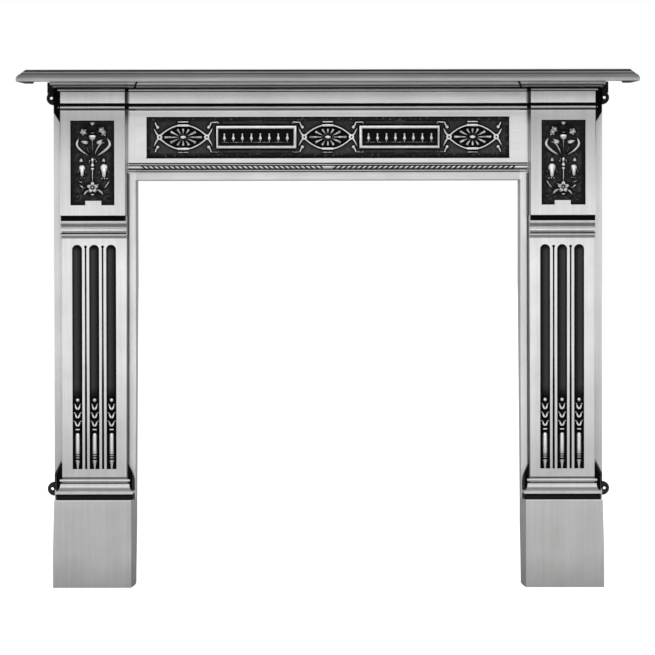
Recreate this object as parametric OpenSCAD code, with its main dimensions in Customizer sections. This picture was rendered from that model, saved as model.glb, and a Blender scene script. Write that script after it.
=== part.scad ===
// Cast iron mantel surround: a moulded shelf over a frieze and two legs on plinths,
// hollow-backed castings bolted together from behind and screwed to the wall by lugs.
// +X to the right, the wall behind at +Y, +Z up, the floor at Z = 0.

/* [Overall] */
// Width of the shelf, and of the whole surround
shelf_w = 1524; // [1480:1:1600]
// Depth of the shelf from the wall to its front lip
shelf_d = 230; // [215:1:250]
// Height of the whole surround
total_h = 1280; // [1270:1:1300]
// Width of the fire opening between the legs
opening_w = 955; // [940:1:960]
// Height of the fire opening under the lintel
opening_h = 1014; // [1008:1:1016]
// Wall of the iron castings
wall_t = 5; // [4:0.5:8]

/* [Shelf] */
// Height of the shelf's moulded edge
shelf_h = 31; // [28:1:36]
// Thickness of the shelf's top plate
shelf_plate_t = 7; // [5:0.5:9]
// How far the top arris stands behind the lip
ovolo_in = 22; // [18:1:28]
// Width of the solid moulding at the shelf's ends
end_t = 21; // [16:1:26]
// How far the lower edge of the ends rises towards the wall
end_rise = 10; // [0:1:12]

/* [Legs] */
// Height of the plinth
plinth_h = 218; // [210:1:222]
// Depth of the plinth from the wall
plinth_d = 120; // [116:1:126]
// Depth of the leg's back frame from the wall
slip_d = 80; // [70:1:84]
// Depth of the fluted shaft from the wall
shaft_d = 110; // [106:1:112]
// Depth of the upper block from the wall
block_d = 118; // [114:1:122]
// Inner edge of the shaft, from the middle of the surround
shaft_in = 499; // [497:1:501]
// Outer edge of the shaft, from the middle of the surround
shaft_out = 661; // [659:1:663]
// Outer edge of the leg's back frame, from the middle of the surround
leg_out = 683; // [682:1:686]
// Width of one flute
flute_w = 24.2; // [20:0.1:25]
// Depth of one flute
flute_depth = 7; // [5:0.5:8]
// Distance between neighbouring flutes
flute_pitch = 42.2; // [40:0.1:43]

/* [Frieze] */
// Depth of the frieze face from the wall
frieze_d = 104; // [98:1:108]
// How far the cornice breaks forward over each block
cornice_break = 12; // [10:1:14]
// Width of the frieze panel
frieze_panel_w = 900; // [880:1:904]
// Height of the frieze panel
frieze_panel_h = 100; // [96:1:101]
// Distance between neighbouring turned spindles
spindle_pitch = 22.3; // [20:0.1:23]

/* [Leg panels] */
// Width of a leg panel
leg_panel_w = 108; // [104:1:110]
// Height of a leg panel
leg_panel_h = 209; // [205:1:210]
// Width of the tab that holds the foot of a leg panel
tab_w = 39.6; // [36:0.2:42]
// Height of that tab
tab_h = 11; // [9:0.5:13]

/* [Wall lugs] */
// Diameter of the screw hole in a wall lug
lug_hole = 7; // [6:0.5:9]
// Thickness of a wall lug
lug_t = 6; // [5:0.5:8]

/* [Hidden] */

wall_y = shelf_d / 2;
eps = 1;
fit = 0.2;
polished = [0.72, 0.72, 0.72];
black_iron = [0.10, 0.10, 0.11];
zinc = [0.62, 0.62, 0.60];

open_x = opening_w / 2;
shelf_x = shelf_w / 2;
plate_z = total_h - shelf_plate_t;
flange_t = 10;

// block of the leg
block_in = shaft_in + 4.5;
block_out = shaft_out + 3.5;
block_mid = (block_in + block_out) / 2;
block_z0 = 924.5;
slot_z0 = 911.5;
slot_d = shaft_d - 3;
splay = 7;

// shaft of the leg
shaft_mid = (shaft_in + shaft_out) / 2 + 1;
flute_z0 = 295;
flute_z1 = 852;
flute_r = (pow(flute_w / 2, 2) + pow(flute_depth, 2)) / (2 * flute_depth);
key_w = 3.9;
key_depth = 4;
key_dot_r = 3.4;

// swept sides of the leg's base: how far they stand behind the shaft's face, and their heights
sweep_back = 4;
sweep_in = 482.5;
sweep_out = 680;
sweep_z0 = 262;
sweep_z1 = 324;

// cored notches in the back of the leg's flanges, between the bolts
top_notch_x = [558, 612];
top_notch_d = 75;
side_notch_z = [1110, 1200];
side_notch_d = 58;

// cornice, measured up from the frieze
cornice_z0 = 1180;
band_z0 = 1203;
band_z1 = 1231;
bed_reach = 33;
band_d = block_d - cornice_break;

// panels and their pockets
pocket_depth = 11;
panel_t = 5;
leg_pocket_z0 = 950;
frieze_pocket_z0 = 1068.5;
leg_panel_z = leg_pocket_z0 + (leg_panel_h + 1) / 2;
frieze_panel_z = frieze_pocket_z0 + (frieze_panel_h + 1) / 2;
leg_ground = block_d - pocket_depth + panel_t;
frieze_ground = frieze_d - pocket_depth + panel_t;
relief = pocket_depth - panel_t - 0.7;
leg_panel_back = block_d - pocket_depth - wall_t;
frieze_panel_back = frieze_d - pocket_depth - wall_t;

// rope moulding and lintel
rope_z = 1044.4;
rope_r = 3.4;
rope_d = frieze_d - 5;

// fasteners: nominal diameter of each kind and where they stand
m10 = 10;
m8 = 8;
m5 = 5;
shelf_stud_x = [-630, -540, -240, 240, 540, 630];
shelf_stud_d = 55;
frieze_bolt_z = [1085, 1225];
frieze_bolt_d = 40;
plinth_bolt_x = [535, 635];
plinth_bolt_d = 45;
leg_screw_x = 40;
leg_screw_z = 85;
frieze_screw_x = [-420, -271, -90, 90, 271, 420];

// wall lugs: their holes, and the bolts that hold them
lug_x = 695.5;
lug_eye_x = 690;
lug_eye_r = 17.5;
upper_lug_z = 1222;
lower_lug_z = 239;
lug_bolt_x = 664;
lug_bolt_z = 14;

$fn = 32;

// ---------- helpers ----------

// front-to-back position of a depth measured out from the wall
function y_at(d) = wall_y - d;

// points along an ellipse's arc: centre, radii, first and last angle
function arc(c, rx, ry, a0, a1, n = 6) =
    [for (i = [0:n]) [c[0] + rx * cos(a0 + (a1 - a0) * i / n), c[1] + ry * sin(a0 + (a1 - a0) * i / n)]];

function flip(list) = [for (i = [len(list) - 1:-1:0]) list[i]];

// a section of [depth, height] points carried along X
module along_x(section, x0, x1) {
    translate([x0, 0, 0]) rotate([90, 0, 90]) linear_extrude(x1 - x0)
        polygon([for (q = section) [y_at(q[0]), q[1]]]);
}

// an outline of [x, height] points carried from one depth to another
module along_y(outline, d0, d1) {
    translate([0, y_at(d0), 0]) rotate([90, 0, 0]) linear_extrude(d1 - d0)
        polygon(outline);
}

// a plan of [x, depth] points carried upwards
module along_z(plan, z0, z1) {
    translate([0, 0, z0]) linear_extrude(z1 - z0)
        polygon([for (q = plan) [q[0], y_at(q[1])]]);
}

// a box between two x, two depths and two heights
module block(x0, x1, d0, d1, z0, z1) {
    translate([x0, y_at(d1), z0]) cube([x1 - x0, d1 - d0, z1 - z0]);
}

// a round bar that points out from the wall
module pin_y(x, z, d0, d1, dia, sides = 32) {
    translate([x, y_at(d0), z]) rotate([90, 0, 0]) cylinder(h = d1 - d0, d = dia, $fn = sides);
}

// a round bar that points along X
module pin_x(x0, x1, d, z, dia, sides = 32) {
    translate([x0, y_at(d), z]) rotate([0, 90, 0]) cylinder(h = x1 - x0, d = dia, $fn = sides);
}

// a round bar that stands upright
module pin_z(x, d, z0, z1, dia, sides = 32) {
    translate([x, y_at(d), z0]) cylinder(h = z1 - z0, d = dia, $fn = sides);
}

// a moulding that returns round both sides of a block, mitred at its corners; groove_k is the
// share of a groove's depth that it keeps on the sides, so that the wall behind it stays whole
module mitred(profile, face_d, x_in, x_out, k_in = 1, k_out = 1, x_min = 0, x_max = 2000, groove_k = 1) {
    z0 = profile[0][1];
    z1 = profile[len(profile) - 1][1];
    front = [for (q = profile) [face_d + q[0], q[1]]];
    side = [for (q = profile) [q[0] < 0 ? groove_k * q[0] : q[0], q[1]]];
    inner = [for (q = side) [max(x_min, x_in - k_in * q[0]), q[1]]];
    outer = [for (q = side) [min(x_max, x_out + k_out * q[0]), q[1]]];
    intersection() {
        along_x(concat([[0, z0]], front, [[0, z1]]), 0, 1000);
        along_y(concat(inner, flip(outer)), 0, 400);
    }
}

// ---------- mouldings ----------

// cornice and bed moulding: [reach from the band, height], from the frieze up to the shelf
function cornice_profile() = concat(
    [[0, cornice_z0], [0, 1184.6], [-4, 1185.4], [-4, 1189.4]],
    arc([0.5, 1192.4], 3.2, 2.9, -75, 75),
    [[-5, 1195.5], [-5, 1202], [0, band_z0], [0, band_z1], [-3, 1231.4], [-3, 1233]],
    arc([3, 1235.3], 2.2, 2.2, -80, 80, 4),
    [[4, 1238], [8, 1238.6], [8, 1242.4], [13, 1243], [13, 1244.8], [18, 1245.2]],
    arc([19, 1251], bed_reach - 19, 5.6, -80, 0),
    [[bed_reach, plate_z]]);

// base moulding of the leg: [reach from the shaft, height]
function base_profile() = concat(
    [[8, plinth_h], [8, 228], [9.5, 230.5], [14.5, 233], [14.5, 240.5]],
    arc([14, 258], 9.5, 17, 270, 180),
    [[-1, 258.6], [-1, 262.6]],
    arc([2.5, 266.5], 3.6, 3.6, -70, 70),
    [[-4, 270.4], [-4, 276], [0, 276.5]]);

// neck moulding between the shaft and the block: [depth from the wall, height]
function neck_profile() = concat(
    [[shaft_d - 6, 868], [shaft_d + 0.4, 868.5], [shaft_d + 4, 875], [shaft_d + 4, 878],
     [shaft_d - 1, 878.6], [shaft_d - 1, 882.4], [shaft_d + 2, 883]],
    arc([shaft_d, 888.2], 7, 5.5, -65, 55),
    [[shaft_d + 3.2, 893.4]],
    arc([shaft_d + 10, 894], 7, 10.5, 180, 100),
    [[block_d + 1.5, 905], [block_d + 1.5, 910.6], [slot_d, slot_z0]],
    [[slot_d - 12, slot_z0]]);

// lintel, rope seat and frieze face below the cornice: [depth from the wall, height]
function frieze_profile() = [
    [0, opening_h], [slip_d, opening_h], [slip_d, 1032.8], [slip_d - 2, 1033.2], [slip_d - 2, 1034.8],
    [slip_d + 7, 1035.2], [slip_d + 7, 1038.2], [rope_d - 2.6, 1039.6], [rope_d - 2.6, 1049.2],
    [frieze_d - 2, 1049.6], [frieze_d - 2, 1052.2], [frieze_d - 5, 1052.6], [frieze_d - 5, 1055],
    [frieze_d, 1055.4],
    [frieze_d, cornice_z0], [0, cornice_z0]];

// edge of the shelf, a rounded lip under a slope with one quirk: [reach from the lip, height]
function shelf_profile() = concat(
    [[-5, total_h - shelf_h]],
    arc([-14, total_h - 25.5], 14, 14, -20, 48),
    [[-8.5, total_h - 11.9], [-9.9, total_h - 12.1], [-11.3, total_h - 11],
     [-10.2, total_h - 10.5], [-ovolo_in + 2, total_h - 2.5], [-ovolo_in, total_h]]);

// the whole front of the frieze between two x, up to the shelf
module frieze_front(x0, x1) {
    along_x(frieze_profile(), x0, x1);
    along_x(concat([[0, cornice_z0]], [for (q = cornice_profile()) [band_d + q[0], q[1]]], [[0, plate_z]]),
        x0, x1);
    pin_x(x0, x1, rope_d, rope_z, 2 * rope_r);
}

// the hollow behind the cornice, carried out behind the bed mould to keep the wall even
module cornice_hollow(face_d, back_d, x0, x1) {
    along_x([[back_d - eps, 1172], [back_d, 1172], [face_d - 5 - wall_t, 1186], [face_d - 5 - wall_t, 1203],
        [face_d - 3 - wall_t, 1206], [face_d - 3 - wall_t, 1236], [face_d + 4, 1246],
        [face_d + 17, 1251], [face_d + bed_reach - wall_t, 1257],
        [face_d + bed_reach - wall_t, plate_z - flange_t], [back_d - eps, plate_z - flange_t]], x0, x1);
}

// ---------- shelf ----------

module mantel_shelf() color(polished) difference() {
    intersection() {
        along_x(concat([[0, total_h - shelf_h]],
            [for (q = shelf_profile()) [shelf_d + q[0], q[1]]], [[0, total_h]]), -shelf_x, shelf_x);
        along_y(concat([for (q = shelf_profile()) [shelf_x + q[0], q[1]]],
            flip([for (q = shelf_profile()) [-shelf_x - q[0], q[1]]])), 0, shelf_d);
    }
    // the hollow underside, inside the moulded edge
    intersection() {
        along_x([[-eps, 0], [shelf_d - wall_t, 0], [shelf_d - wall_t, total_h - 24],
            [shelf_d - ovolo_in - 4, plate_z], [-eps, plate_z]], -shelf_x, shelf_x);
        along_y([[-shelf_x + end_t, 0], [shelf_x - end_t, 0], [shelf_x - end_t, total_h - 20],
            [shelf_x - ovolo_in - 7, plate_z], [-shelf_x + ovolo_in + 7, plate_z],
            [-shelf_x + end_t, total_h - 20]], -eps, shelf_d);
    }
    // the ends' lower edge, from behind the front lip up to the wall
    along_x([[-eps, 0], [shelf_d - 9, 0], [shelf_d - 9, total_h - shelf_h + 1],
        [-eps, total_h - shelf_h + end_rise]], -shelf_x - 1, shelf_x + 1);
    for (x = shelf_stud_x)
        pin_z(x, shelf_stud_d, plate_z - eps, total_h - 2, m8 + fit);
}

// ---------- frieze ----------

module frieze() color(polished) difference() {
    frieze_front(-open_x, open_x);
    // the hollow back: behind the lintel, the panel and the cornice
    block(-open_x + wall_t, open_x - wall_t, -eps, slip_d - wall_t, opening_h + wall_t, 1045);
    block(-open_x + wall_t, open_x - wall_t, -eps, frieze_panel_back, 1044, plate_z - flange_t);
    cornice_hollow(band_d, frieze_panel_back, -open_x + wall_t, open_x - wall_t);
    // the pocket for the ornament panel
    block(-frieze_panel_w / 2 - 0.5, frieze_panel_w / 2 + 0.5, frieze_d - pocket_depth, frieze_d + eps,
        frieze_pocket_z0, frieze_pocket_z0 + frieze_panel_h + 1);
    for (s = [-1, 1], z = frieze_bolt_z)
        pin_x(s * open_x - 20, s * open_x + 20, frieze_bolt_d, z, m10 + 1);
    for (x = shelf_stud_x)
        if (abs(x) < open_x)
            pin_z(x, shelf_stud_d, plate_z - 2 * flange_t, plate_z + eps, m8 + 1);
    for (x = frieze_screw_x)
        pin_y(x, frieze_panel_z, frieze_d - 3 * pocket_depth, frieze_d, m5 + 0.5);
}

// a pointed oval: the overlap of two circles
module vesica(half_w, half_h, d0, d1) {
    r = (half_w * half_w + half_h * half_h) / (2 * half_h);
    translate([0, y_at(d0), 0]) rotate([90, 0, 0]) linear_extrude(d1 - d0) intersection() {
        translate([0, r - half_h]) circle(r = r, $fn = 96);
        translate([0, half_h - r]) circle(r = r, $fn = 96);
    }
}

// a flat strip that follows a path of [x, height] points; w lists its half width at each point
function strip_side(path, w, side) = [for (i = [0:len(path) - 1])
    let (a = path[max(i - 1, 0)], b = path[min(i + 1, len(path) - 1)], d = (b - a) / norm(b - a))
        path[i] + side * w[i] * [-d[1], d[0]]];
function strip(path, w) = concat(strip_side(path, w, 1), flip(strip_side(path, w, -1)));

// one pointed-oval medallion of the frieze, about its own centre at x on the panel
module medallion(x) {
    g = frieze_ground - fit;
    top = frieze_ground + relief;
    node_x = 58.4;
    difference() {
        vesica(node_x, 30.5, g, top);
        vesica(51.5, 26.8, g - eps, top + eps);
    }
    for (s = [-1, 1]) {
        difference() {
            pin_y(s * node_x, 0, g, top, 12);
            pin_y(s * node_x, 0, g - eps, top + eps, 4);
        }
        block(-14, 14, g, top - 0.4, s * 29 - 2.5, s * 29 + 2.5);
        block(-14, 14, g, top - 0.4, s * 38 - 1.2, s * 38 + 1.2);
        for (t = [-1, 1]) {
            along_y(strip([[s * 61, t * 2], [s * 67, t * 10], [s * 72, t * 24]], [2, 1.5, 1.2]), g, top);
            hook(s, t, abs(x + s * 80) < 400);
        }
    }
    // sun rays round an oval boss: long ones along the middle, shorter ones above and below
    for (s = [-1, 1]) {
        along_y([[s * 15, -1], [s * 46, -2.6], [s * 46, 2.6], [s * 15, 1]], g, top - 1.2);
        along_y([[-1, s * 10], [1, s * 10], [2.4, s * 20], [-2.4, s * 20]], g, top - 1.2);
        for (t = [-1, 1]) {
            along_y(strip([[s * 13, t * 4.5], [s * 31, t * 13.5]], [1, 2.6]), g, top - 1.2);
            along_y(strip([[s * 7, t * 8.5], [s * 14, t * 19.5]], [1, 2.4]), g, top - 1.2);
        }
    }
    translate([0, y_at(g), 0]) rotate([90, 0, 0]) linear_extrude(top - g - 0.8)
        scale([1.8, 1]) circle(r = 7);
}

// the hooked end over a medallion's arm: a ball, a slant and, next to a spindle box, a bar
module hook(s, t, barred) {
    g = frieze_ground - fit;
    top = frieze_ground + relief;
    pin_y(s * 62.5, t * 24.5, g, top, 7.4);
    along_y(strip([[s * 63, t * 25.5], [s * 67, t * 30], [s * 69.5, t * 37.5]], [1.6, 1.5, 1.2]),
        g, top - 0.4);
    if (barred)
        block(min(s * 69, s * 88), max(s * 69, s * 88), g, top - 0.8, t * 36.8 - 1.2, t * 36.8 + 1.2);
}

// one turned spindle, half sunk in the panel
module spindle() {
    translate([0, y_at(frieze_ground), -10.5]) rotate_extrude($fn = 20)
        polygon([[0, 0], [3.4, 0], [3.4, 2.4], [1.6, 3.4], [2.6, 6.5], [3.1, 9.5], [1.5, 18],
            [2.2, 20], [0, 21]]);
}

// one framed run of spindles, about its own centre
module spindle_box() {
    g = frieze_ground - fit;
    top = frieze_ground + relief;
    difference() {
        block(-100.4, 100.4, g, top, -27.8, 27.8);
        block(-94.4, 94.4, g - eps, top + eps, -21.6, 21.6);
    }
    for (i = [0:7])
        translate([(i - 3.5) * spindle_pitch, 0, 0]) spindle();
    // raised field above and below the box, with a keystone in its middle
    for (t = [-1, 1]) {
        block(-84, 84, g, g + 2.6, t * 35.8 - 4.6, t * 35.8 + 4.6);
        along_y([[-15, t * 30.5], [15, t * 30.5], [11, t * 41.5], [-11, t * 41.5]], g, g + 3.6);
    }
}

module frieze_panel() color(black_iron) difference() {
    union() {
        block(-frieze_panel_w / 2, frieze_panel_w / 2, frieze_ground - panel_t, frieze_ground,
            frieze_panel_z - frieze_panel_h / 2, frieze_panel_z + frieze_panel_h / 2);
        difference() {
            block(-frieze_panel_w / 2, frieze_panel_w / 2, frieze_ground - fit, frieze_ground + 3,
                frieze_panel_z - frieze_panel_h / 2, frieze_panel_z + frieze_panel_h / 2);
            block(-frieze_panel_w / 2 + 9, frieze_panel_w / 2 - 9, frieze_ground - eps, frieze_ground + 4,
                frieze_panel_z - frieze_panel_h / 2 + 8, frieze_panel_z + frieze_panel_h / 2 - 8);
        }
        for (x = [-359.5, 0, 359.5])
            translate([x, 0, frieze_panel_z]) medallion(x);
        for (x = [-179, 179])
            translate([x, 0, frieze_panel_z]) spindle_box();
    }
    for (x = frieze_screw_x)
        pin_y(x, frieze_panel_z, frieze_ground - 2 * panel_t, frieze_ground - 1, m5 + fit);
}

// ---------- legs ----------

// the ornament that stands in the foot of a flute, about the flute's axis
module flute_finial() {
    floor_d = shaft_d - flute_depth;
    translate([0, y_at(floor_d + 1), 0]) rotate_extrude($fn = 24) polygon([
        [0, flute_z0 - 1], [2.2, flute_z0 - 1], [2.6, 301], [4, 309], [5.6, 315], [5.6, 316.6], [4, 317.6],
        [4, 321], [5.6, 321.8], [5.6, 323.4], [4, 324.2], [4, 326.6], [5.6, 327.4], [5.6, 329], [4, 330],
        [5.4, 332.4], [5.4, 379], [4, 382], [0, 383]]);
    block(-4.4, 4.4, floor_d - 2, floor_d + 4, 391.8, 394);
    for (z = [400, 420.6, 441.4], s = [-1, 1])
        along_y([[0, z], [0, z + 4], [s * 3.2, z + 11], [s * 8, z + 15], [s * 5.6, z + 6], [s * 2, z]],
            floor_d - 2, floor_d + 3.6);
    translate([0, y_at(floor_d + 1), 466.4]) sphere(r = 4.6, $fn = 20);
    along_y([[-3, 472], [3, 472], [0, 487]], floor_d - 2, floor_d + 2);
}

// one side of the base: an ogee of [x, height] from the shaft's edge down to the base's side
function base_sweep(x_top, x_foot, n = 8) = [for (i = [0:n])
    [x_foot + (x_top - x_foot) * (1 + cos(180 * i / n)) / 2, sweep_z1 + (sweep_z0 - sweep_z1) * i / n]];

// the solid outline of the right-hand leg, before it is hollowed
module leg_outside() {
    // back frame with its slip beside the opening
    intersection() {
        along_z([[open_x, 0], [open_x + 2, slip_d], [leg_out, slip_d], [leg_out + 2, 0]], plinth_h, plate_z);
        along_y([[open_x + 4.5, plinth_h], [leg_out + 2, plinth_h], [leg_out + 2, plate_z],
            [open_x, plate_z], [open_x, 750]], -eps, slip_d + eps);
    }
    // fluted shaft
    along_z([[shaft_in, shaft_d], [shaft_in - 2.5, slip_d - eps], [shaft_out + 2, slip_d - eps],
        [shaft_out, shaft_d]], 260, 869);
    along_x(concat([[slip_d - eps, 868]], neck_profile(), [[slip_d - eps, slot_z0]]),
        shaft_in + 2, shaft_out);
    along_z([[block_in + 1, slot_d], [shaft_in - 2.5, slip_d - eps], [block_out, slip_d - eps],
        [block_out - 1, slot_d]], 869, block_z0 + 1);
    // upper block
    along_z([[block_in, block_d], [block_in - splay, frieze_d], [block_in - splay, slip_d - eps],
        [block_out + 2, slip_d - eps], [block_out, block_d]], block_z0, cornice_z0 + 1);
    mitred(cornice_profile(), block_d, block_in, block_out, x_min = open_x, x_max = leg_out + 3,
        groove_k = 0.2);
    // stretch of frieze that is cast with the leg
    frieze_front(open_x, block_in);
    // base moulding and the swept sides behind it
    mitred(base_profile(), shaft_d, shaft_in, shaft_out, k_in = 0.9, k_out = 1.1);
    intersection() {
        along_y(concat([[sweep_in, plinth_h], [sweep_out, plinth_h]],
            flip(base_sweep(shaft_out - 1, sweep_out)), base_sweep(shaft_in + 1, sweep_in)), 0, plinth_d);
        along_z([[sweep_in, slip_d], [sweep_in + 5, shaft_d - sweep_back],
            [sweep_out - 4, shaft_d - sweep_back], [sweep_out + 1, slip_d],
            [sweep_out + 1, slip_d / 2], [sweep_in, slip_d / 2]], plinth_h, sweep_z1);
    }
}

module right_leg_casting() difference() {
    leg_outside();
    // the hollow back: frame, shaft and block
    block(open_x + wall_t + 5, leg_out - wall_t, -eps, slip_d - wall_t, plinth_h + flange_t, opening_h);
    block(open_x + wall_t, leg_out - wall_t, -eps, slip_d - wall_t, opening_h - eps, plate_z - flange_t);
    block(shaft_in + wall_t, shaft_out - wall_t, -eps, shaft_d - flute_depth - wall_t,
        plinth_h + flange_t, 900);
    block(block_in + wall_t, block_out - wall_t, -eps, leg_panel_back, 899, plate_z - flange_t);
    cornice_hollow(block_d, leg_panel_back, block_in + wall_t, block_out - wall_t);
    // flutes, with a round head and a square foot
    for (i = [-1, 0, 1])
        translate([shaft_mid + i * flute_pitch, y_at(shaft_d - flute_depth + flute_r), 0])
            rotate_extrude($fn = 48) polygon(concat([[0, flute_z0], [flute_r, flute_z0]],
                arc([0, flute_z1 - flute_w / 2], flute_r, flute_w / 2, 0, 85, 9), [[0, flute_z1]]));
    // keyhole grooves between the flutes
    for (s = [-1, 1]) {
        x = shaft_mid + s * flute_pitch / 2;
        block(x - key_w / 2, x + key_w / 2, shaft_d - key_depth, shaft_d + eps, flute_z0, 847);
        pin_y(x, 847, shaft_d - key_depth, shaft_d + eps, 2 * key_dot_r);
    }
    // pocket for the panel, round the tab at its foot
    difference() {
        block(block_mid - leg_panel_w / 2 - 0.5, block_mid + leg_panel_w / 2 + 0.5,
            block_d - pocket_depth, block_d + eps, leg_pocket_z0, leg_pocket_z0 + leg_panel_h + 1);
        block(block_mid - 2 - tab_w / 2, block_mid - 2 + tab_w / 2,
            block_d - pocket_depth - eps, block_d + 2 * eps, leg_pocket_z0 - eps, leg_pocket_z0 + tab_h);
    }
    for (s = [-1, 1], t = [-1, 1])
        pin_y(block_mid + s * leg_screw_x, leg_panel_z + t * leg_screw_z,
            block_d - 3 * pocket_depth, block_d, m5 + 0.5);
    // holes of the flanges that meet the frieze, the shelf and the plinth
    for (z = frieze_bolt_z)
        pin_x(open_x - eps, open_x + 20, frieze_bolt_d, z, m10 + 1);
    for (x = shelf_stud_x)
        if (x > open_x)
            pin_z(x, shelf_stud_d, plate_z - 2 * flange_t, plate_z + eps, m8 + 1);
    for (x = plinth_bolt_x)
        pin_z(x, plinth_bolt_d, plinth_h - eps, plinth_h + 2 * flange_t, m10 + 1);
    // between their bolts, the flanges are cored away at the back
    block(top_notch_x[0], top_notch_x[1], -eps, top_notch_d, plate_z - 2 * flange_t, plate_z + eps);
    block(open_x - eps, open_x + 2 * wall_t, -eps, side_notch_d, side_notch_z[0], side_notch_z[1]);
}

// pads inside the outer wall that the wall lugs are bolted to
module lug_pads() {
    for (z = [upper_lug_z, lower_lug_z + 18])
        difference() {
            block(lug_bolt_x - 14, leg_out - 4, lug_t, lug_t + wall_t, z - 26, z + 26);
            for (t = [-1, 1])
                pin_y(lug_bolt_x, z + t * lug_bolt_z, 0, 3 * wall_t, m8 + 0.5);
        }
}

module leg(side) mirror([side < 0 ? 1 : 0, 0, 0]) {
    difference() {
        right_leg_casting();
        // the lugs lie in shallow seats cut in the back edge
        for (z = [upper_lug_z, lower_lug_z + 18])
            block(lug_bolt_x - 14.5, leg_out + 20, -eps, lug_t, z - 27, z + 27);
    }
    lug_pads();
    for (i = [-1, 0, 1])
        translate([shaft_mid + i * flute_pitch, 0, 0]) flute_finial();
}

module left_leg() color(polished) leg(-1);
module right_leg() color(polished) leg(1);

// ---------- leg panels ----------

// a leaf, scroll or stem of the bouquet: a strip that stands h above the ground
module leaf(path, w, h) {
    along_y(strip(path, w), leg_ground - fit, leg_ground + h);
}

// a turned bud, bell or cup half sunk in the panel: points of [radius, height] about [x, z]
module turned(x, z, profile) {
    translate([x, y_at(leg_ground), z]) rotate_extrude($fn = 24) polygon(profile);
}

// a round boss of the bouquet
module boss(x, z, dia, h) {
    pin_y(x, z, leg_ground - fit, leg_ground + h, dia);
}

// a hanging bell flower, k times the size of the smaller one: a flat outline with a turned body on it
module bell_flower(x, z, k) {
    half = [[2.6, -14.4], [3.2, -7], [4.2, -3], [7.2, 1], [7.8, 5.5], [6.6, 10.5], [3.4, 13.6]];
    along_y(concat([for (q = half) [x + k * q[0], z + k * q[1]]],
        flip([for (q = half) [x - k * q[0], z + k * q[1]]])), leg_ground - fit, leg_ground + 2.6);
    turned(x, z, concat([[0, -14 * k]], [for (q = half) [min(0.7 * k * q[0], relief), k * 0.96 * q[1]]],
        [[0, 13.6 * k]]));
}

// flowers, scrolls and bells of one leg panel, about the panel's centre, as on the left leg
module bouquet() {
    high = relief;
    mid = relief - 1.2;
    low = 2;
    // bud, boss and flowers at the top
    along_y([[-6.5, 100], [-5, 94.5], [0, 93], [5, 94.5], [6.5, 100]], leg_ground - fit, leg_ground + high);
    boss(2, 87, 17, low);
    leaf([[-7, 75], [0, 73.4], [7, 75]], [0.8, 1.7, 0.8], low + 1);
    for (q = [[-26, 76], [-20, 78], [-21, 73]])
        boss(q[0], q[1], 8, mid);
    for (q = [[22, 84], [27, 80], [29, 74], [24, 72]])
        boss(q[0], q[1], 8.6, mid);
    boss(-23, 75.8, 5, high);
    boss(25.6, 77.6, 5, high);
    // cup on its stem, with a leaf on each side
    turned(0, 62.4, [[0, -6.8], [3.6, -5.6], [relief - 0.2, -1], [relief, 4], [relief - 1, 6.2], [0, 6.4]]);
    along_y([[-6, 56.8], [6, 56.8], [8.6, 62], [8.6, 67.4], [-8.6, 67.4], [-8.6, 62]],
        leg_ground - fit, leg_ground + mid);
    leaf([[0, 52], [0, 19]], [1.6, 1.1], low + 1);
    leaf([[-9.5, 46.5], [-18, 51], [-27, 48.5]], [3, 4, 0.8], mid);
    leaf([[9.5, 46.5], [18, 51], [26, 55.5]], [3, 4, 0.8], mid);
    // scrolls that rise from the vase
    leaf([[11, 17.4], [29.5, 29.6], [42.4, 42.2], [42, 51], [36, 61]], [1.6, 2.8, 3.4, 2.6, 1.2], high);
    leaf([[-8, 17.4], [-27.4, 30.3], [-38, 43], [-38, 51], [-33.8, 61.6]], [1.2, 2.6, 3, 2.4, 1.2], high);
    leaf([[6, 21.6], [12.6, 36.5], [21, 48], [29.5, 49]], [1.4, 1.8, 2, 1.4], mid);
    leaf([[-6, 21], [-11, 33], [-16, 43.7]], [1.4, 1.6, 1], low);
    // vase on its foot and stem
    turned(0, 0, [[0, -17], [4.8, -16.4], [5, -13.4], [2.2, -12.6], [2.2, -9.6], [5, -8.6],
        [5.2, -4.4], [3, -1.6], [2.8, 2], [4.4, 6], [3.6, 12], [0, 14.6]]);
    for (q = [[-7, 4.6], [7.4, 7.5], [9.4, 3]])
        boss(q[0], q[1], 4, mid);
    leaf([[0, -16], [0, -50.5]], [1.4, 1], mid);
    // buds and bells that hang beside it
    for (s = [-1, 1]) {
        along_y([[s * 28 - 5, 3.6], [s * 28 + 5, 3.6], [s * 28 + 2, 8], [s * 28, 13], [s * 28 - 2, 8]],
            leg_ground - fit, leg_ground + mid);
        bell_flower(s < 0 ? -26 : 28.4, -18.4, s < 0 ? 1 : 1.12);
        for (k = [-1, 0, 1])
            boss((s < 0 ? -25.5 : 31.5) + k * 5.6, s < 0 ? -37.5 : -39, 3.6, mid);
        leaf([[s * 36, -18], [s * 38, -28], [s * 43, -35]], [1, 1.2, 0.7], low);
        boss(s * 38, -83.4, 10, low);
        leaf([[s * 10, -81.5], [s * 20, -86], [s * 31, -91]], [2, 3, 1], low);
    }
    // rosette with its leaves
    for (i = [0:4])
        boss(7.6 * sin(72 * i), -61 + 7.6 * cos(72 * i), 8.8, mid);
    boss(0, -61, 5, high);
    leaf([[-37, -45.5], [-28, -47.5], [-19, -50.4]], [1.2, 2, 1], low + 1);
    leaf([[-33, -53], [-26, -59], [-20, -64]], [1, 2.2, 1.2], mid);
    leaf([[42, -45.7], [37, -52], [31, -61], [26.8, -64]], [1.6, 2.4, 2, 1], mid);
    leaf([[9, -56], [17, -53]], [1.8, 1], mid);
    leaf([[11, -67.5], [19, -71], [26, -77]], [1.6, 3, 0.8], high);
    leaf([[-9, -67], [-15, -72], [-21.5, -80]], [1.6, 3, 0.8], low + 1);
    along_y([[-5, -80], [5, -80], [4, -76.6], [-4, -76.6]], leg_ground - fit, leg_ground + high);
}

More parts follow.
